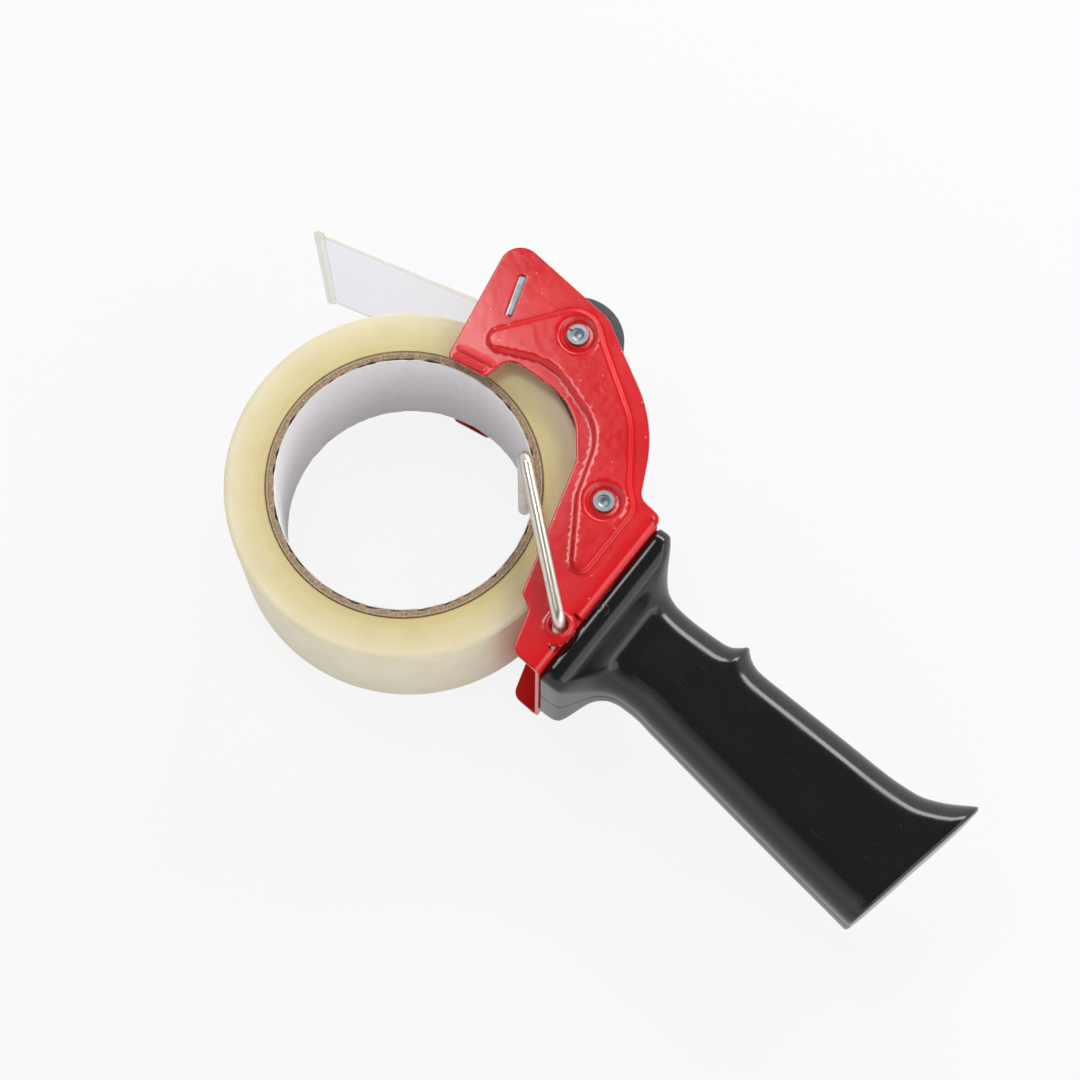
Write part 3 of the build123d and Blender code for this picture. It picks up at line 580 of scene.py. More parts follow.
def signed_distance(points, loop):
    """The distance to a loop, positive inside."""
    distance = edge_distance(points, loop)
    return np.where(inside(points, loop), distance, -distance)


def moved_loop(loop, distance):
    """A loop moved inwards by a distance; negative moves it outwards."""
    run = np.roll(loop, -1, axis=0) - np.roll(loop, 1, axis=0)
    run /= np.linalg.norm(run, axis=1)[:, None]
    return loop + np.stack([-run[:, 1], run[:, 0]], axis=1) * distance


# %% [markdown]
# The side plates are the part of this tool that everyone recognises. The press draws a
# C-shaped field outwards, with dimples round both pins and two ridges on the head's
# edge. The plate is made as a height map: a triangle net that follows the outline and
# the field's rim, lifted by how far each point lies inside the field. The sheet keeps
# one thickness, as real sheet does.

# %% Side plate outlines
SHEET = 1.2
PLATE_OUT = 30.0
EMBOSS = 1.4
WEB_Y = -67.1
FOLD_RADIUS = 2.6
FOLD_Y = WEB_Y + FOLD_RADIUS
WEB_LEFT, WEB_RIGHT = -21.8, 34.4
BAIL = (-6.9, -62.9)
ROLLER = (65.9, -13.3)
CROSS_PIN = (30.0, -50.7)
EAR_LENGTH, EAR_RADIUS = 1.7, 5.1
RELIEF = (BAIL[0] - EAR_LENGTH / 2 - 6.5, BAIL[0] - EAR_LENGTH / 2 + 6.5)
SLOT_START, SLOT_TURN, SLOT_LENGTH, SLOT_WIDTH = (58.06, 6.72), math.radians(19), 13.9, 2.0


def seam_stations():
    """The X places that the plate and the web share along the fold."""
    marks = [WEB_LEFT, RELIEF[0], RELIEF[1], 0.0, 16.0, WEB_RIGHT]
    stations = []
    for a, b in zip(marks, marks[1:]):
        count = max(1, int(round((b - a) / 0.9)))
        stations += [a + (b - a) * k / count for k in range(count)]
    return stations + [WEB_RIGHT]


def ear_points():
    """The ear's lower edge, from left to right."""
    points = []
    left, right = BAIL[0] - EAR_LENGTH, BAIL[0]
    start = math.asin((FOLD_Y - BAIL[1]) / EAR_RADIUS)
    for turn in np.linspace(math.pi - start, 1.5 * math.pi, 9):
        points.append((left + EAR_RADIUS * math.cos(turn), BAIL[1] + EAR_RADIUS * math.sin(turn)))
    for turn in np.linspace(-0.5 * math.pi, start, 9):
        points.append((right + EAR_RADIUS * math.cos(turn), BAIL[1] + EAR_RADIUS * math.sin(turn)))
    return points


def plate_loop():
    """The flat part of a side plate, and the count of points that lie on the fold."""
    upper = rounded_loop([
        (WEB_RIGHT, FOLD_Y, 0), (WEB_RIGHT, WEB_Y, 0), (36.6, WEB_Y, 3.0), (37.7, -58.3, 4.0),
        (58.4, -47.85, 43.0), (69.7, -27.7, 30.0), (75.9, -17.3, 8.0), (79.8, 21.4, 6.5),
        (37.0, 13.1, 1.8), (39.0, 0.2, 2.0), (48.2, -1.6, 5.0), (48.9, -25.8, 20.0),
        (35.0, -36.6, 8.0), (-6.0, -48.7, 2.2), (-8.5, -53.2, 1.8), (-21.3, -57.1, 3.6),
        (WEB_LEFT, FOLD_Y, 0),
    ])
    on_fold = np.isclose(upper[:, 1], FOLD_Y) & (upper[:, 0] > WEB_LEFT) & (upper[:, 0] < WEB_RIGHT)
    upper = upper[~on_fold]
    stations = seam_stations()
    lower = [(x, FOLD_Y) for x in stations if WEB_LEFT < x <= RELIEF[0] + 1e-6]
    lower += ear_points()
    lower += [(x, FOLD_Y) for x in stations if RELIEF[1] - 1e-6 <= x < WEB_RIGHT]
    return np.array(list(upper) + lower), len(upper)


def field_loop():
    """The C-shaped field."""
    return rounded_loop([
        (42.5, 14.3, 3.2), (54.7, -12.6, 18.0), (46.4, -36.6, 16.0), (26.6, -43.4, 6.0),
        (8.3, -55.4, 3.0), (9.6, -59.35, 2.4), (33.2, -59.35, 4.5), (38.8, -53.4, 5.0),
        (54.3, -42.2, 25.0), (67.6, -22.2, 5.0), (76.3, -10.8, 7.9),
    ])


def slot_loop():
    """The slot in the head, with round ends."""
    half = SLOT_WIDTH / 2
    points = []
    for centre, start in ((SLOT_LENGTH - half, -math.pi / 2), (half, math.pi / 2)):
        for turn in np.linspace(start, start + math.pi, 11):
            points.append((centre + half * math.cos(turn), half * math.sin(turn)))
    c, s = math.cos(SLOT_TURN), math.sin(SLOT_TURN)
    points = np.array(points) @ np.array(((c, s), (-s, c))) + SLOT_START
    return even_steps(points, 0.5)


outline, upper_count = plate_loop()
print("plate outline", len(outline), "points; field", len(field_loop()), "points")

# %% [markdown]
# The net needs points where the shape changes: along every edge, in rings beside it for
# the soft burr of a punched edge, and on both sides of the field's sloping wall. In
# between, a loose grid is enough. Blender's own triangulator joins them up.

# %% Height of the pressed sheet
DIMPLE_INNER, DIMPLE_OUTER = 4.4, 6.3
RIDGES = ((39.5, 6.7, 10.4), (42.2, 6.5, 12.2))
RIDGE_TURN = math.radians(-79.5)
RIDGE_RISE = 0.9
LIP_DROP, LIP_WIDTH = 0.45, 1.5


def ridge_depth(points, x, y, length):
    """How far points lie inside a ridge's outline."""
    c, s = math.cos(RIDGE_TURN), math.sin(RIDGE_TURN)
    local = (points - (x, y)) @ np.array(((c, -s), (s, c)))
    along = np.maximum(np.abs(local[:, 0]) - length / 2 + 0.8, 0)
    return 0.9 - np.hypot(along, local[:, 1])


def pressed_height(points, field, hole_radius):
    """How far the press has lifted the sheet at each point."""
    wall = smoothstep((signed_distance(points, field) + 0.62) / 1.24)
    for x, y in (ROLLER, CROSS_PIN):
        reach = np.hypot(points[:, 0] - x, points[:, 1] - y)
        wall = wall * smoothstep((reach - DIMPLE_INNER) / (DIMPLE_OUTER - DIMPLE_INNER))
    height = EMBOSS * wall
    for x, y, length in RIDGES:
        ridge = RIDGE_RISE * smoothstep((ridge_depth(points, x, y, length) + 0.2) / 1.1)
        height = np.maximum(height, ridge)
    lip = edge_distance(points, slot_loop()) / LIP_WIDTH
    height = height - LIP_DROP * (1 - smoothstep(lip))
    reach = np.hypot(points[:, 0] - BAIL[0], points[:, 1] - BAIL[1])
    collar = 0.4 * smoothstep((hole_radius + 1.25 - reach) / 0.6)
    return np.maximum(height, collar)


def burr_drop(distance, radius):
    """How far a rounded edge has dropped at a distance from the edge."""
    inner = np.clip(1 - distance / radius, 0, 1)
    return radius * (1 - np.sqrt(1 - inner * inner))


def plate_net(hole_radius):
    """Points, heights, edge nearness and triangles of one side plate's outer face."""
    field = field_loop()
    slot = slot_loop()
    holes = [slot, circle_loop(*BAIL, hole_radius), circle_loop(*ROLLER, 2.86),
             circle_loop(*CROSS_PIN, 2.86)]
    free = outline[list(range(upper_count))]
    ear = np.array(ear_points())
    loops = [outline] + holes
    extra = [moved_loop(free, d) for d in (0.14, 0.32, 0.6)]
    extra += [moved_loop(loop, -d) for loop in holes for d in (0.14, 0.32, 0.6)]
    extra += [moved_loop(field, d) for d in (-0.62, -0.42, -0.21, 0.0, 0.21, 0.42, 0.62)]
    for x, y in (ROLLER, CROSS_PIN):
        extra += [circle_loop(x, y, r, 60) for r in (4.4, 4.8, 5.3, 5.8, 6.3)]
    extra += [circle_loop(*BAIL, hole_radius + d, 48) for d in (0.8, 1.0, 1.25)]
    extra += [moved_loop(slot, -d) for d in (0.85, 1.1, 1.35, 1.6)]
    grid = []
    for x, y, length in RIDGES:
        c, s = math.cos(RIDGE_TURN), math.sin(RIDGE_TURN)
        for u in np.arange(-length / 2 - 0.8, length / 2 + 0.9, 0.35):
            for v in np.arange(-1.25, 1.3, 0.25):
                grid.append((x + u * c - v * s, y + u * s + v * c))
    spread = np.array([(x, y) for x in np.arange(-22, 81, 1.1) for y in np.arange(-68, 22, 1.1)])
    far = edge_distance(spread, outline) > 0.9
    far &= np.abs(signed_distance(spread, field)) > 0.9
    for loop in holes:
        far &= edge_distance(spread, loop) > 0.9
    grid = np.concatenate([np.array(grid), spread[far]] + extra)
    keep = inside(grid, outline) & (edge_distance(grid, outline) > 0.1)
    for loop in holes:
        keep &= ~inside(grid, loop) & (edge_distance(grid, loop) > 0.1)
    grid = grid[keep]
    points = np.concatenate(loops + [grid])
    edges = []
    start = 0
    for loop in loops:
        count = len(loop)
        edges += [(start + k, start + (k + 1) % count) for k in range(count)]
        start += count
    flat, _, triangles, _, _, _ = delaunay_2d_cdt(
        [Vector(point) for point in points], edges, [], 0, 1e-4)
    flat = np.array([tuple(point) for point in flat])
    triangles = np.array([tuple(face) for face in triangles])
    middle = flat[triangles].mean(axis=1)
    good = inside(middle, outline)
    for loop in holes:
        good &= ~inside(middle, loop)
    triangles = triangles[good]
    distance = edge_distance(flat, free, False)
    distance = np.minimum(distance, edge_distance(flat, ear, False))
    for loop in holes:
        distance = np.minimum(distance, edge_distance(flat, loop))
    height = pressed_height(flat, field, hole_radius)
    return flat, height, distance, triangles


near_net = plate_net(2.8)
print("net of", len(near_net[0]), "points and", len(near_net[3]), "triangles")

# %% [markdown]
# The web joins the two plates through tight folds. It is a simple grid, swept along X
# with the cross-section of the fold, and cut where the press cut it: a relief beside
# each ear, and the window that the tongue was bent out of. Outer and inner faces share
# one layout, so the cut edges close by joining the two.

# %% Assemble the stamping
def fold_profile():
    """Outer and inner points of half the web's cross-section, from the plate inwards."""
    outer, inner = [], []
    for turn in np.linspace(0, math.pi / 2, 9):
        lean, drop = math.cos(turn), math.sin(turn)
        outer.append((FOLD_Y - FOLD_RADIUS * drop, PLATE_OUT - FOLD_RADIUS * (1 - lean)))
        small = FOLD_RADIUS - SHEET
        inner.append((FOLD_Y - small * drop, PLATE_OUT - FOLD_RADIUS + small * lean))
    for z in (26.8, 25.8, 20.0, 13.0, 7.0, 1.0, 0.0):
        outer.append((FOLD_Y - FOLD_RADIUS, z))
        inner.append((FOLD_Y - FOLD_RADIUS + SHEET, z))
    return outer, inner


class Sheet:
    """Outer and inner points of a sheet, with faces between them."""

    def __init__(self):
        self.outer, self.inner, self.edge, self.faces, self.known = [], [], [], [], {}

    def point(self, outer, inner, edge):
        key = tuple(int(round(c * 200)) for c in outer)
        if key not in self.known:
            self.known[key] = len(self.outer)
            self.outer.append(tuple(outer))
            self.inner.append(tuple(inner))
            self.edge.append(edge)
        return self.known[key]

    def closed(self):
        """All points and faces, with the cut edges filled."""
        count = len(self.outer)
        sides = {}
        for face in self.faces:
            for a, b in zip(face, face[1:] + face[:1]):
                sides[(a, b)] = sides.get((a, b), 0) + 1
        faces = list(self.faces) + [tuple(v + count for v in reversed(f)) for f in self.faces]
        rims = [(a, b) for a, b in sides if (b, a) not in sides]
        faces += [(b, a, a + count, b + count) for a, b in rims]
        return self.outer + self.inner, faces, self.edge + self.edge


def add_plate(sheet, net, side):
    """One side plate; side is 1 for the near plate and -1 for the far one."""
    flat, height, distance, triangles = net
    drop = burr_drop(distance, 0.32)
    rise = burr_drop(distance, 0.14)
    near = np.clip(1 - distance / 0.45, 0, 1)
    index = []
    for (x, y), h, d, r, e in zip(flat, height, drop, rise, near):
        outer = (x, y, side * (PLATE_OUT + h - d))
        inner = (x, y, side * (PLATE_OUT - SHEET + h + r))
        index.append(sheet.point(outer, inner, float(e)))
    for a, b, c in triangles:
        face = (index[a], index[b], index[c])
        if len(set(face)) == 3:
            sheet.faces.append(face if side > 0 else face[::-1])


def add_web(sheet):
    """The web and both folds."""
    outer, inner = fold_profile()
    outer = outer + [(y, -z) for y, z in reversed(outer[:-1])]
    inner = inner + [(y, -z) for y, z in reversed(inner[:-1])]
    stations = seam_stations()
    grid = [[sheet.point((x, oy, oz), (x, iy, iz), 0.0) for x in stations]
            for (oy, oz), (iy, iz) in zip(outer, inner)]
    for row in range(len(outer) - 1):
        z = (outer[row][1] + outer[row + 1][1]) / 2
        for column in range(len(stations) - 1):
            x = (stations[column] + stations[column + 1]) / 2
            relief = RELIEF[0] < x < RELIEF[1] and abs(z) > 26.8
            window = 0 < x < 16 and 1.0 < z < 25.8
            if not (relief or window):
                sheet.faces.append((grid[row][column], grid[row + 1][column],
                                    grid[row + 1][column + 1], grid[row][column + 1]))


def add_strip(sheet, corners, outward, across, along):
    """A flat strip of sheet between four corners."""
    a, b, c, d = (np.array(corner, float) for corner in corners)
    grid = []
    for u in np.linspace(0, 1, across + 1):
        row = []
        for v in np.linspace(0, 1, along + 1):
            point = (a * (1 - u) + b * u) * (1 - v) + (d * (1 - u) + c * u) * v
            edge = 1.0 if u in (0.0, 1.0) else 0.0
            row.append(sheet.point(point + np.array(outward) * SHEET / 2,
                                   point - np.array(outward) * SHEET / 2, edge))
        grid.append(row)
    for row in range(across):
        for column in range(along):
            sheet.faces.append((grid[row][column], grid[row + 1][column],
                                grid[row + 1][column + 1], grid[row][column + 1]))


stamping = Sheet()
add_plate(stamping, near_net, 1)
add_plate(stamping, plate_net(2.06), -1)
add_web(stamping)
bridge_turn = math.radians(62)
bridge_run = np.array((math.cos(bridge_turn), math.sin(bridge_turn), 0))
bridge_out = np.array((math.sin(bridge_turn), -math.cos(bridge_turn), 0))
middle = np.array((65.9, -33.9, 0)) - bridge_out * 0.6
BRIDGE_HALF = PLATE_OUT - 0.4
top, low = bridge_run * 5.3, np.array((0, 0, BRIDGE_HALF))
add_strip(stamping, (middle - top - low, middle + top - low, middle + top + low,
                     middle - top + low), bridge_out, 6, 40)
add_strip(stamping, ((0, -92.9, 0), (16, -92.9, 0), (16, -66.2, 0), (0, -66.2, 0)),
          (0, 0, 1), 4, 8)
points, faces, edge = stamping.closed()
pressed_frame = mesh_piece("pressed_frame", points, faces, "dispenser", "red_enamel", enamel,
                           ("frame",), sharp=50)
set_attribute(pressed_frame, "edge", edge)

# %% [markdown]
# The pistol grip is two moulded shells that meet on the middle plane. Across the grip
# the section is a flattened oval with a tighter palm side and a fuller trigger side, and
# along it the sizes change slowly, except at the crowned block under the frame and at
# the pointed finger stop. The sizes are kept in one table, read along a smooth curve,
# and each half is skinned over the sections.

# %% Grip sections
GRIP = np.array([
    # y, palm x, trigger x, half depth, palm round, trigger round
    (-67.12, -20.9, 35.7, 24.25, 4.2, 4.6),
    (-67.5, -21.35, 36.15, 24.6, 4.5, 5.0),
    (-68.2, -21.4, 36.2, 24.87, 4.5, 5.0),
    (-69.4, -21.4, 36.2, 25.0, 4.5, 5.0),
    (-70.8, -21.4, 36.1, 24.87, 4.5, 5.0),
    (-72.0, -21.35, 35.0, 24.55, 4.5, 5.0),
    (-73.0, -21.2, 33.6, 24.1, 4.5, 5.0),
    (-74.2, -20.7, 31.7, 23.4, 4.6, 5.2),
    (-75.3, -19.6, 29.9, 22.0, 5.1, 5.8),
    (-76.4, -17.9, 28.3, 20.1, 6.0, 6.9),
    (-77.6, -15.8, 26.9, 18.2, 7.4, 8.3),
    (-78.8, -13.8, 25.9, 16.7, 8.7, 9.5),
    (-80.2, -12.0, 25.1, 15.7, 9.7, 10.4),
    (-82.5, -10.1, 24.3, 15.15, 10.3, 10.9),
    (-84.5, -9.1, 23.8, 15.0, 10.5, 11.0),
    (-88.0, -8.45, 23.4, 15.0, 10.5, 11.0),
    (-92.0, -8.45, 23.2, 15.0, 10.5, 11.0),
    (-101.0, -9.7, 23.4, 15.0, 10.5, 11.0),
    (-103.6, -10.05, 23.9, 15.0, 10.5, 11.0),
    (-105.4, -10.3, 24.9, 15.0, 10.5, 11.0),
    (-106.8, -10.5, 26.1, 15.0, 10.5, 11.0),
    (-107.7, -10.65, 26.95, 15.0, 10.5, 11.0),
    (-108.1, -10.7, 27.05, 15.0, 10.5, 11.0),
    (-108.6, -10.8, 26.7, 15.0, 10.5, 11.0),
    (-109.6, -10.9, 25.7, 15.0, 10.5, 11.0),
    (-111.0, -11.1, 24.6, 15.0, 10.5, 11.0),
    (-112.8, -11.4, 23.7, 15.0, 10.5, 11.0),
    (-115.0, -11.7, 23.1, 15.0, 10.5, 11.0),
    (-118.0, -12.15, 22.85, 15.0, 10.5, 11.0),
    (-130.0, -13.87, 22.52, 15.0, 10.5, 11.0),
    (-148.0, -16.4, 21.98, 15.0, 10.5, 11.0),
    (-164.0, -18.6, 21.5, 15.0, 10.5, 11.0),
    (-173.0, -19.8, 22.1, 15.2, 10.5, 11.0),
    (-180.0, -20.7, 24.5, 15.6, 10.5, 11.0),
    (-187.0, -21.6, 28.6, 16.1, 10.5, 11.0),
    (-194.0, -22.5, 32.8, 16.7, 10.5, 11.0),
])
GRIP_END_Y = -184.2
GRIP_END_TURN = math.radians(-11.0)
GRIP_END_TILT = math.tan(GRIP_END_TURN)
TILT_START_Y = -150.0
LAST_RING_Y = GRIP_END_Y + 1.0


def smooth_table(table, y):
    """Read the table at Y along a smooth curve through its rows that never overshoots."""
    keys = -table[:, 0]
    place = float(np.clip(-y, keys[0], keys[-1]))
    i = int(np.clip(np.searchsorted(keys, place) - 1, 0, len(keys) - 2))
    steps = np.diff(keys)
    slopes = np.diff(table[:, 1:], axis=0) / steps[:, None]

    def slope(j):
        if j == 0 or j == len(keys) - 1:
            return slopes[min(j, len(slopes) - 1)]
        a, b = slopes[j - 1], slopes[j]
        mean = 2 * a * b / np.where(np.abs(a + b) < 1e-9, 1e-9, a + b)
        return np.where(a * b > 0, mean, 0.0)

    h = steps[i]
    t = (place - keys[i]) / h
    p0, p1 = table[i, 1:], table[i + 1, 1:]
    m0, m1 = slope(i) * h, slope(i + 1) * h
    return ((2 * t ** 3 - 3 * t ** 2 + 1) * p0 + (t ** 3 - 2 * t ** 2 + t) * m0
            + (-2 * t ** 3 + 3 * t ** 2) * p1 + (t ** 3 - t ** 2) * m1)


print("grip at mid length", smooth_table(GRIP, -130.0).round(2))

# %% Grip shells
SEAM_GAP = 0.1
SEAM_ROUND = 0.25


def half_section(palm, trigger, depth, palm_round, trigger_round):
    """X and Z from the palm's parting edge over the flat face to the trigger's."""
    points = [(palm + SEAM_ROUND, SEAM_GAP), (palm + SEAM_ROUND * 0.3, SEAM_GAP + 0.08),
              (palm, SEAM_GAP + SEAM_ROUND)]
    points += [(palm, z) for z in np.linspace(0.9, depth - palm_round, 6)[:-1]]
    for turn in np.linspace(math.pi, math.pi / 2, 15):
        points.append((palm + palm_round * (1 + math.cos(turn)),
                       depth - palm_round * (1 - math.sin(turn))))
    points += [(x, depth) for x in np.linspace(palm + palm_round, trigger - trigger_round, 14)[1:-1]]
    for turn in np.linspace(math.pi / 2, 0, 19):
        points.append((trigger - trigger_round * (1 - math.cos(turn)),
                       depth - trigger_round * (1 - math.sin(turn))))
    points += [(trigger, z) for z in np.linspace(depth - trigger_round, 0.9, 5)[1:]]
    points += [(trigger, SEAM_GAP + SEAM_ROUND), (trigger - SEAM_ROUND * 0.3, SEAM_GAP + 0.08),
               (trigger - SEAM_ROUND, SEAM_GAP)]
    return np.array(points)


def ring_rows():
    """Y of each ring, closer together where the form turns."""
    rows = list(np.arange(-67.12, -70.5, -0.4)) + list(np.arange(-70.7, -84, -0.45))
    rows += list(np.arange(-84.5, -101.5, -1.3)) + list(np.arange(-101.8, -116.5, -0.5))
    rows += list(np.arange(-117.5, -165, -2.4)) + list(np.arange(-166, -178, -1.5))
    return rows


def grip_ring(y_middle, tilt):
    """One ring of points, on a plane that tilts towards the slanted end."""
    points = half_section(*smooth_table(GRIP, y_middle))
    if tilt == 0:
        return [(x, y_middle, z) for x, z in points]
    ring = []
    for index, (x, z) in enumerate(points):
        y = y_middle
        for _ in range(3):
            y = y_middle + GRIP_END_TILT * tilt * x
            x = half_section(*smooth_table(GRIP, y))[index][0]
            z = half_section(*smooth_table(GRIP, y))[index][1]
        ring.append((x, y, z))
    return ring


def grip_half(side):
    """Points and faces of one shell."""
    rings = [grip_ring(y, 0.0) for y in ring_rows() if y > TILT_START_Y]
    for step in np.linspace(0, 1, 22)[1:]:
        rings.append(grip_ring(TILT_START_Y + (LAST_RING_Y - TILT_START_Y) * step, step))
    end = np.array(grip_ring(LAST_RING_Y, 1.0))
    centre = end.mean(axis=0)
    centre[2] = SEAM_GAP
    down = np.array((math.sin(GRIP_END_TURN), -math.cos(GRIP_END_TURN), 0))
    for shrink, reach in ((0.15, 0.5), (0.5, 0.85), (1.0, 1.0), (4.0, 1.25), (9.0, 1.4)):
        ring = []
        for point in end:
            spoke = point - centre
            size = np.linalg.norm(spoke)
            moved = centre + spoke * max(size - shrink, 0.5) / size
            moved[2] = max(moved[2], SEAM_GAP)
            ring.append(tuple(moved + down * reach))
        rings.append(ring)
    width = len(rings[0])
    points = [(x, y, side * z) for ring in rings for x, y, z in ring]
    faces = []
    for row in range(len(rings) - 1):
        base = row * width
        for k in range(width - 1):
            faces.append((base + k, base + k + 1, base + width + k + 1, base + width + k))
        faces.append((base, base + width, base + 2 * width - 1, base + width - 1))
    faces.append(tuple(range(width)))
    faces.append(tuple(range((len(rings) - 1) * width, len(rings) * width)))
    return points, faces


grip_near = mesh_piece("grip_near_half", *grip_half(1), "dispenser", "black_moulding", abs_black,
                       ("handle_near_half",), sharp=60)
grip_far = mesh_piece("grip_far_half", *grip_half(-1), "dispenser", "black_moulding", abs_black,
                      ("handle_far_half",), sharp=60)

# %% [markdown]
# Round pieces are turned: a closed profile of radius and height is spun about an axis.
# The roll, its core, the roller and the collars are all made by this one helper, with
# enough steps that no facet shows at the rim.

# %% Lathe helper
def turned(profile, centre, steps=192):
    """Points and faces of a closed profile of (radius, z) spun about an axis."""
    points, faces = [], []
    count = len(profile)
    for k in range(steps):
        turn = 2 * math.pi * k / steps
        for radius, z in profile:
            points.append((centre[0] + radius * math.cos(turn),
                           centre[1] + radius * math.sin(turn), z))
    for k in range(steps):
        here, after = k * count, (k + 1) % steps * count
        for i in range(count):
            j = (i + 1) % count
            faces.append((here + i, here + j, after + j, after + i))
    return points, faces


def ring_profile(outer, inner, low, high, soft):
    """A tube's profile with softened corners."""
    corners = []
    for r, z, dr, dz in ((outer, low, -1, 1), (outer, high, -1, -1),
                         (inner, high, 1, -1), (inner, low, 1, 1)):
        a, b = (r + dr * soft, z), (r, z + dz * soft)
        middle = (r + dr * soft * 0.29, z + dz * soft * 0.29)
        corners.append([a, middle, b] if (r, z) in ((outer, low), (inner, high)) else
                       [b, middle, a])
    return corners[0] + corners[1] + corners[2] + corners[3]


# %% [markdown]
# The roll of tape is 48 mm wide on a 76 mm core. Its side is never quite flat, because
# the turns wander by a few hundredths, so the profile steps in and out a little. The
# core was cut with a dull knife, so the board's inner rim is torn back here and there
# and the lining paper ends a little lower.

# %% Tape roll
AXIS = (0.0, 0.0)
TEAR_MM = 2.4
RIM_BAND = 0.4


def frayed(points, radius, outwards, inwards):
    """A tube's points with the rim at one radius torn outwards and in along the axis."""
    torn = []
    for x, y, z in points:
        reach = math.hypot(x, y)
        if abs(reach - radius) < RIM_BAND and abs(z) > 24.0 - RIM_BAND:
            tear = max(0.0, noise.noise((x / TEAR_MM, y / TEAR_MM, z)) + 0.15)
            x, y = (c * (1 + outwards * tear / reach) for c in (x, y))
            z -= math.copysign(inwards * tear, z)
        torn.append((x, y, z))
    return torn


side_steps = [0.0, 0.05, 0.02, 0.07, 0.03, 0.0, 0.06, 0.02, 0.05, 0.0]
radii = np.linspace(52.75, 41.2, len(side_steps))
top_side = [(r, 23.95 - s) for r, s in zip(radii, side_steps)]
low_side = [(r, -z) for r, z in reversed(top_side)]
tape_profile = ([(53.0, -23.6), (53.0, 23.6), (52.9, 23.85)] + top_side
                + [(40.95, 23.7), (40.92, 23.4), (40.92, -23.4), (40.95, -23.7)] + low_side
                + [(52.9, -23.85)])
mesh_piece("wound_tape_ring", *turned(tape_profile, AXIS, 256), "roll", "tape_film", tape,
           ("tape_ring",), sharp=40)
points, faces = turned(ring_profile(40.9, 38.42, -24.0, 24.0, 0.25), AXIS, 256)
mesh_piece("board_core", frayed(points, 38.42, 1.1, 0.5), faces, "roll", "core_board", kraft,
           ("tape_core",), sharp=40)
points, faces = turned(ring_profile(38.4, 38.1, -24.0, 24.0, 0.08), AXIS, 256)
mesh_piece("paper_liner", frayed(points, 38.2, 0.0, 0.9), faces, "roll", "core_paper", lining,
           ("core_liner",), sharp=40)

# %% [markdown]
# Three small things sit where the eye goes. The mould's pin left a round mark on the
# grip's crowned block, so the mark is a thin disc that follows the crown. The tubular
# pins are upset over a dished floor a millimetre down, which keeps their ends from
# looking like open pipes.

# %% Roller, guide, mould mark and pin ends
EJECTOR_MARK = (5.35, -69.4)
CROWN_Z = 25.0
mark = [(0.01, -0.4), (1.85, -0.4), (1.85, 0.02), (1.72, 0.07), (0.01, 0.07)]
points, faces = turned(mark, EJECTOR_MARK, 48)
points = [(x, y, z + min(CROWN_Z, smooth_table(GRIP, y)[2])) for x, y, z in points]
mesh_piece("ejector_mark", points, faces, "dispenser", "black_moulding", abs_black, (), sharp=20)

PIN_TOP, PIN_BORE = 31.2, 1.94
dish = [(0.01, PIN_TOP - 1.5), (PIN_BORE * 0.5, PIN_TOP - 1.4), (PIN_BORE * 0.85, PIN_TOP - 1.15),
        (PIN_BORE, PIN_TOP - 0.9), (PIN_BORE, PIN_TOP - 2.0), (0.01, PIN_TOP - 2.0)]
for pin_name, centre in (("roller_pin_floor", ROLLER), ("cross_pin_floor", CROSS_PIN)):
    points, faces = turned(dish, centre, 48)
    count = len(points)
    points += [(x, y, -z) for x, y, z in points]
    faces += [tuple(v + count for v in reversed(face)) for face in faces]
    mesh_piece(pin_name, points, faces, "dispenser", "zinc_steel", zinc, (), sharp=50)

roller_profile = ring_profile(13.95, 8.05, -26.2, 26.2, 0.6)
mesh_piece("rubber_tyre", *turned(roller_profile, ROLLER, 128), "roller", "roller_rubber", rubber,
           ("roller_sleeve",), sharp=40)
mesh_piece("steel_guide_tube", *turned(ring_profile(5.3, 2.86, -28.0, 28.0, 0.3), CROSS_PIN, 96),
           "guide", "zinc_steel", zinc, ("guide_sleeve",), sharp=40)

# %% [markdown]
# The bail is one length of 4 mm wire, bent twice. A tube is skinned along its
# centre line, the bends are true arcs, and the free end is rounded in a few rings.

# %% Bail wire
WIRE = 2.0
BEND = 3.4
ARM_Z = 32.7
SEAT_RADIUS = 38.1 - WIRE - 0.3
BAR = (SEAT_RADIUS * math.cos(math.radians(-42)), SEAT_RADIUS * math.sin(math.radians(-42)))
TIP_Z = -28.8 + 3.3


def bent_line(corners, radius, steps=12):
    """A centre line through corners, each rounded by an arc."""
    line = [np.array(corners[0], float)]
    for before, here, after in zip(corners, corners[1:], corners[2:]):
        before, here, after = (np.array(p, float) for p in (before, here, after))
        into = (before - here) / np.linalg.norm(before - here)
        out = (after - here) / np.linalg.norm(after - here)
        half = math.acos(float(np.clip(into @ out, -1, 1))) / 2
        reach = radius / math.tan(half)
        middle = (into + out) / np.linalg.norm(into + out)
        centre = here + middle * radius / math.sin(half)
        a, b = here + into * reach - centre, here + out * reach - centre
        sweep = math.acos(float(np.clip(a @ b / radius ** 2, -1, 1)))
        for k in range(steps + 1):
            t = k / steps
            line.append(centre + (a * math.sin((1 - t) * sweep) + b * math.sin(t * sweep))
                        / math.sin(sweep))
    return line + [np.array(corners[-1], float)]


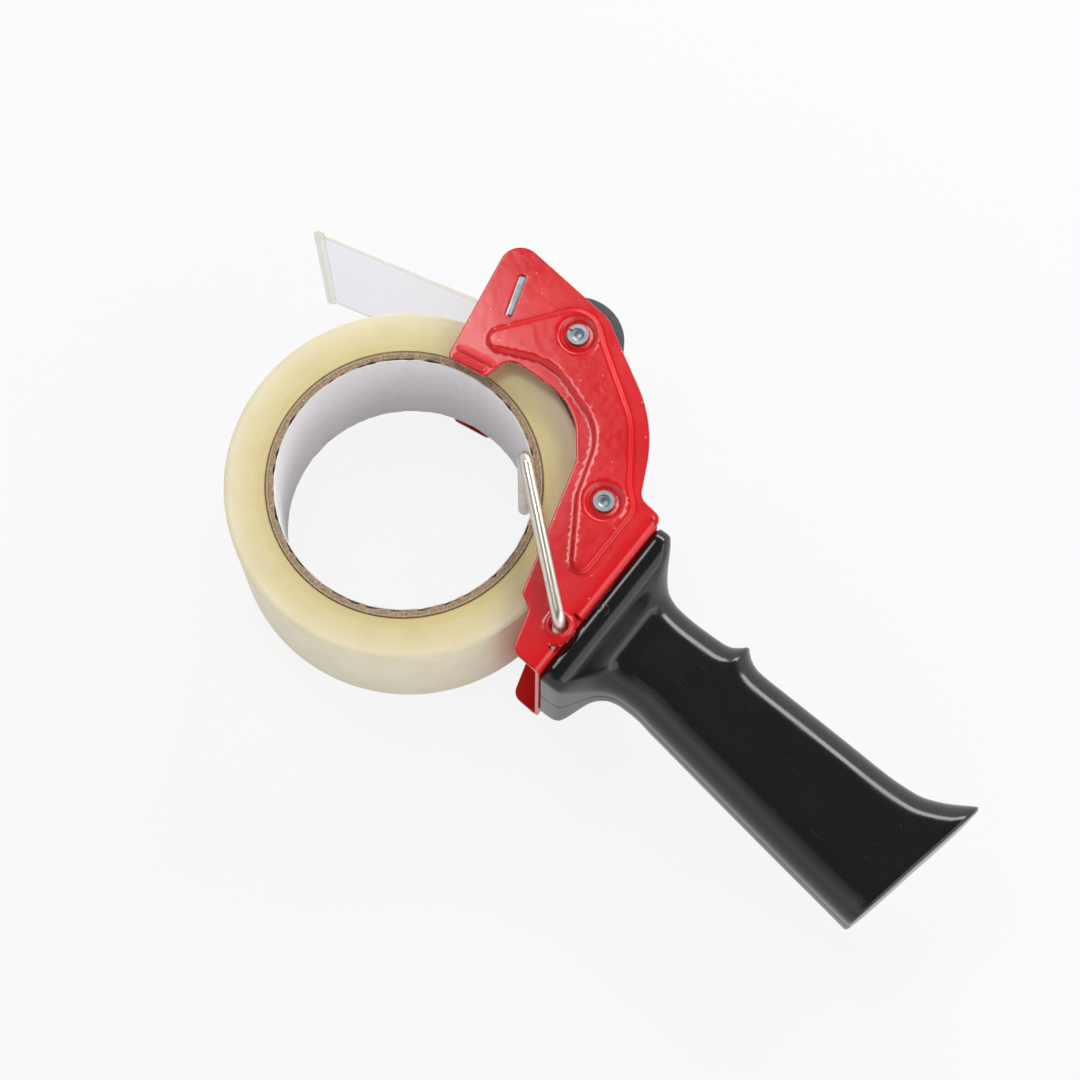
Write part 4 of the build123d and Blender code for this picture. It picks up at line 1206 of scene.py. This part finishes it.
def wire_mesh(line, radii, sides=32):
    """A round tube along a line, with its own radius at each point, closed at both ends."""
    points, faces = [], []
    up = None
    for k, here in enumerate(line):
        run = line[min(k + 1, len(line) - 1)] - line[max(k - 1, 0)]
        run = run / np.linalg.norm(run)
        if up is None:
            up = np.cross(run, (0.3, 0.9, 0.1))
        up = up - run * (up @ run)
        up = up / np.linalg.norm(up)
        side = np.cross(run, up)
        for s in range(sides):
            turn = 2 * math.pi * s / sides
            points.append(here + radii[k] * (up * math.cos(turn) + side * math.sin(turn)))
    for k in range(len(line) - 1):
        for s in range(sides):
            t = (s + 1) % sides
            faces.append((k * sides + s, k * sides + t, (k + 1) * sides + t, (k + 1) * sides + s))
    faces.append(tuple(range(sides)))
    faces.append(tuple(range((len(line) - 1) * sides, len(line) * sides)))
    return points, faces


line = bent_line([(*BAIL, -31.0), (*BAIL, ARM_Z), (*BAR, ARM_Z), (*BAR, TIP_Z + 1.9)], BEND)
radii = [WIRE] * len(line)
for turn in np.linspace(0.25, 1.45, 7):
    line.append(np.array((*BAR, TIP_Z + 1.9 - 1.9 * math.sin(turn))))
    radii.append(WIRE * (0.15 + 0.85 * math.cos(turn)))
wire_points, wire_faces = wire_mesh(line, radii)
head_points, head_faces = turned([(0.01, -31.4), (2.9, -31.4), (3.3, -31.1), (3.3, -30.92),
                                  (0.01, -30.92)], BAIL, 48)
shift = len(wire_points)
wire_points += head_points
wire_faces += [tuple(v + shift for v in face) for face in head_faces]
mesh_piece("bail_wire", wire_points, wire_faces, "bail", "wire_nickel", nickel, ("bail",), sharp=40)

# %% [markdown]
# The flap is an extrusion: one section, the same all along its width. A round bead at
# its root turns in the pressed channel, and an oval bead stiffens its free end.

# %% Clear flap
FLAP_ROOT = np.array((57.9, 12.9))
FLAP_TURN = math.radians(104.1 - 90)
FLAP_HALF = 27.8
FLAP_LENGTH = 56.7


def flap_section():
    """The section's outline, from the root bead up one side and down the other."""
    root, tip, length = 0.60, 0.35, FLAP_LENGTH
    points = []
    start = math.asin(root / 1.3)
    for turn in np.linspace(math.pi / 2 + start, 2.5 * math.pi - start, 29):
        points.append((1.3 * math.cos(turn), 1.3 * math.sin(turn)))
    for t in np.linspace(0.04, 0.96, 12):
        points.append((root + (tip - root) * t, length * t))
    start = math.asin(tip / 1.15)
    for turn in np.linspace(-math.pi / 2 + start, 0, 7):
        points.append((1.15 * math.cos(turn), length - 0.45 + 1.15 * math.sin(turn)))
    for turn in np.linspace(0, math.pi, 13):
        points.append((1.15 * math.cos(turn), length + 0.45 + 1.15 * math.sin(turn)))
    for turn in np.linspace(math.pi, 1.5 * math.pi - start, 7):
        points.append((1.15 * math.cos(turn), length - 0.45 + 1.15 * math.sin(turn)))
    for t in np.linspace(0.96, 0.04, 12):
        points.append((-root - (tip - root) * t, length * t))
    c, s = math.cos(FLAP_TURN), math.sin(FLAP_TURN)
    return [(FLAP_ROOT[0] + x * c - y * s, FLAP_ROOT[1] + x * s + y * c) for x, y in points]


def extruded(section, stations):
    """A closed section swept along Z through stations of (z, shrink)."""
    points, faces = [], []
    count = len(section)
    inward = moved_loop(np.array(section), 1.0) - np.array(section)
    for z, shrink in stations:
        for (x, y), (dx, dy) in zip(section, inward):
            points.append((x + dx * shrink, y + dy * shrink, z))
    for k in range(len(stations) - 1):
        for i in range(count):
            j = (i + 1) % count
            faces.append((k * count + i, k * count + j, (k + 1) * count + j, (k + 1) * count + i))
    faces.append(tuple(range(count)))
    faces.append(tuple(range((len(stations) - 1) * count, len(stations) * count)))
    return points, faces


EDGE_SOFT = 0.08
MILKY_EDGE = 0.7
edge_rows = [(FLAP_HALF, EDGE_SOFT), (FLAP_HALF - EDGE_SOFT, 0.0), (FLAP_HALF - MILKY_EDGE, 0.0)]
flap_rows = [(-z, soft) for z, soft in edge_rows] + [(z, soft) for z, soft in edge_rows[::-1]]
points, faces = extruded(flap_section(), flap_rows)
clear_flap = mesh_piece("clear_flap", points, faces, "flap", "clear_flap", pvc, ("flap",), sharp=35)
milky = [1.0 if abs(z) > FLAP_HALF - MILKY_EDGE / 2 else
         0.55 if math.dist((x, y), FLAP_ROOT) > FLAP_LENGTH - 0.9 else 0.0 for x, y, z in points]
set_attribute(clear_flap, "edge", milky)

# %% [markdown]
# The small metal pieces keep their engineering shapes and only get their finish. Their
# slots are filled one by one, one finish for each.

# %% Finishes for the engineering nodes
FINISHES = {
    "handle_screws": zinc, "roller_axle": zinc, "cross_pin": zinc, "roller_washers": zinc,
    "blade_holder": zinc, "cutter_blade": blade_steel, "blade_rivets": zinc,
    "flap_retainer": zinc, "flap_rivets": zinc, "bail_washer": zinc,
    "roller_core": acetal, "roller_bushes": acetal, "frame": enamel,
    "handle_near_half": abs_black, "handle_far_half": abs_black, "roller_sleeve": rubber,
    "guide_sleeve": zinc, "flap": pvc, "bail": nickel, "tape_ring": tape, "tape_core": kraft,
    "core_liner": lining,
}
for name, material in FINISHES.items():
    slots = nodes[name].data.materials
    slots.clear()
    slots.append(material)
print("finished", len(FINISHES), "nodes")

# %% [markdown]
# The studio is a white table in a room with white walls and a dark ceiling, because the
# camera looks down, and black plastic and glossy enamel mirror what is overhead. One
# soft box above the head gives the enamel its sheen, a strip on the right draws the long
# light on the grip, a wide panel in front greys the slope below the block, and a faint
# panel at the back lifts the palm side. The table glows for the rays that see it
# directly or through the flap, glows less in a mirror, where the real one is darkened by
# the object's shadow, and keeps a share of that shadow everywhere.

# %% Table, surround and lamps
GLOW_SHARE = 0.86
MIRROR_SHARE = 0.4


def white_table():
    material, tree = new_material("white_table")
    path = add(tree, "ShaderNodeLightPath")
    diffuse = add(tree, "ShaderNodeBsdfDiffuse", {"Color": (0.8, 0.8, 0.8, 1)})
    glow = add(tree, "ShaderNodeEmission", {"Color": (1, 1, 1, 1), "Strength": 1.0})
    direct = add(tree, "ShaderNodeMath", {0: path.outputs["Is Camera Ray"],
                 1: path.outputs["Is Transmission Ray"]}, operation="MAXIMUM")
    plain = add(tree, "ShaderNodeMath", {0: direct.outputs[0], 1: GLOW_SHARE},
                operation="MULTIPLY")
    mirrored = add(tree, "ShaderNodeMath", {0: path.outputs["Is Glossy Ray"], 1: MIRROR_SHARE},
                   operation="MULTIPLY")
    share = add(tree, "ShaderNodeMath", {0: plain.outputs[0], 1: mirrored.outputs[0]},
                operation="MAXIMUM")
    mixed = add(tree, "ShaderNodeMixShader", {0: share.outputs[0], 1: diffuse.outputs[0],
                2: glow.outputs[0]})
    finish_material(tree, mixed)
    return material


def area_lamp(name, place, target, width, height, radiance):
    """A soft lamp that faces a point; its power follows from how bright its face looks."""
    data = bpy.data.lights.new(name, "AREA")
    data.shape = "RECTANGLE"
    data.size = width
    data.size_y = height
    data.energy = radiance * math.pi * width * height
    lamp = bpy.data.objects.new(name, data)
    lamp.location = place
    aim = Vector(target) - Vector(place)
    lamp.rotation_mode = "QUATERNION"
    lamp.rotation_quaternion = aim.to_track_quat("-Z", "Y")
    bpy.context.scene.collection.objects.link(lamp)
    return lamp


table_mesh = bpy.data.meshes.new("table")
reach = 6.0
table_mesh.from_pydata([(-reach, -reach, 0), (reach, -reach, 0), (reach, reach, 0),
                        (-reach, reach, 0)], [], [(0, 1, 2, 3)])
table_mesh.materials.append(white_table())
table = bpy.data.objects.new("table", table_mesh)
bpy.context.scene.collection.objects.link(table)

world = bpy.data.worlds.new("surround")
world.use_nodes = True
bpy.context.scene.world = world
tree = world.node_tree
tree.nodes.clear()
direction = add(tree, "ShaderNodeTexCoord")
height = add(tree, "ShaderNodeSeparateXYZ", {0: direction.outputs["Generated"]})
walls = ramp(tree, height.outputs["Z"], [(0.0, grey(1.0)), (0.3, grey(1.0)),
             (0.72, paint("#70727A")), (1.0, paint("#686A72"))])
room = add(tree, "ShaderNodeBackground", {"Color": walls, "Strength": 1.0})
add(tree, "ShaderNodeOutputWorld", {"Surface": room.outputs[0]})

TARGET = (0.0, 0.0, 0.03)
area_lamp("sheen_box", (0.21, 0.46, 1.1), TARGET, 0.36, 0.38, 6.0)
area_lamp("side_strip", (0.95, 0.12, 0.62), TARGET, 0.9, 0.28, 7.5)
area_lamp("front_panel", (0.2, -1.3, 0.9), TARGET, 2.0, 1.1, 1.25)
area_lamp("back_panel", (-0.9, 0.5, 0.8), TARGET, 0.9, 0.9, 0.35)
bpy.context.scene.view_settings.view_transform = "Standard"
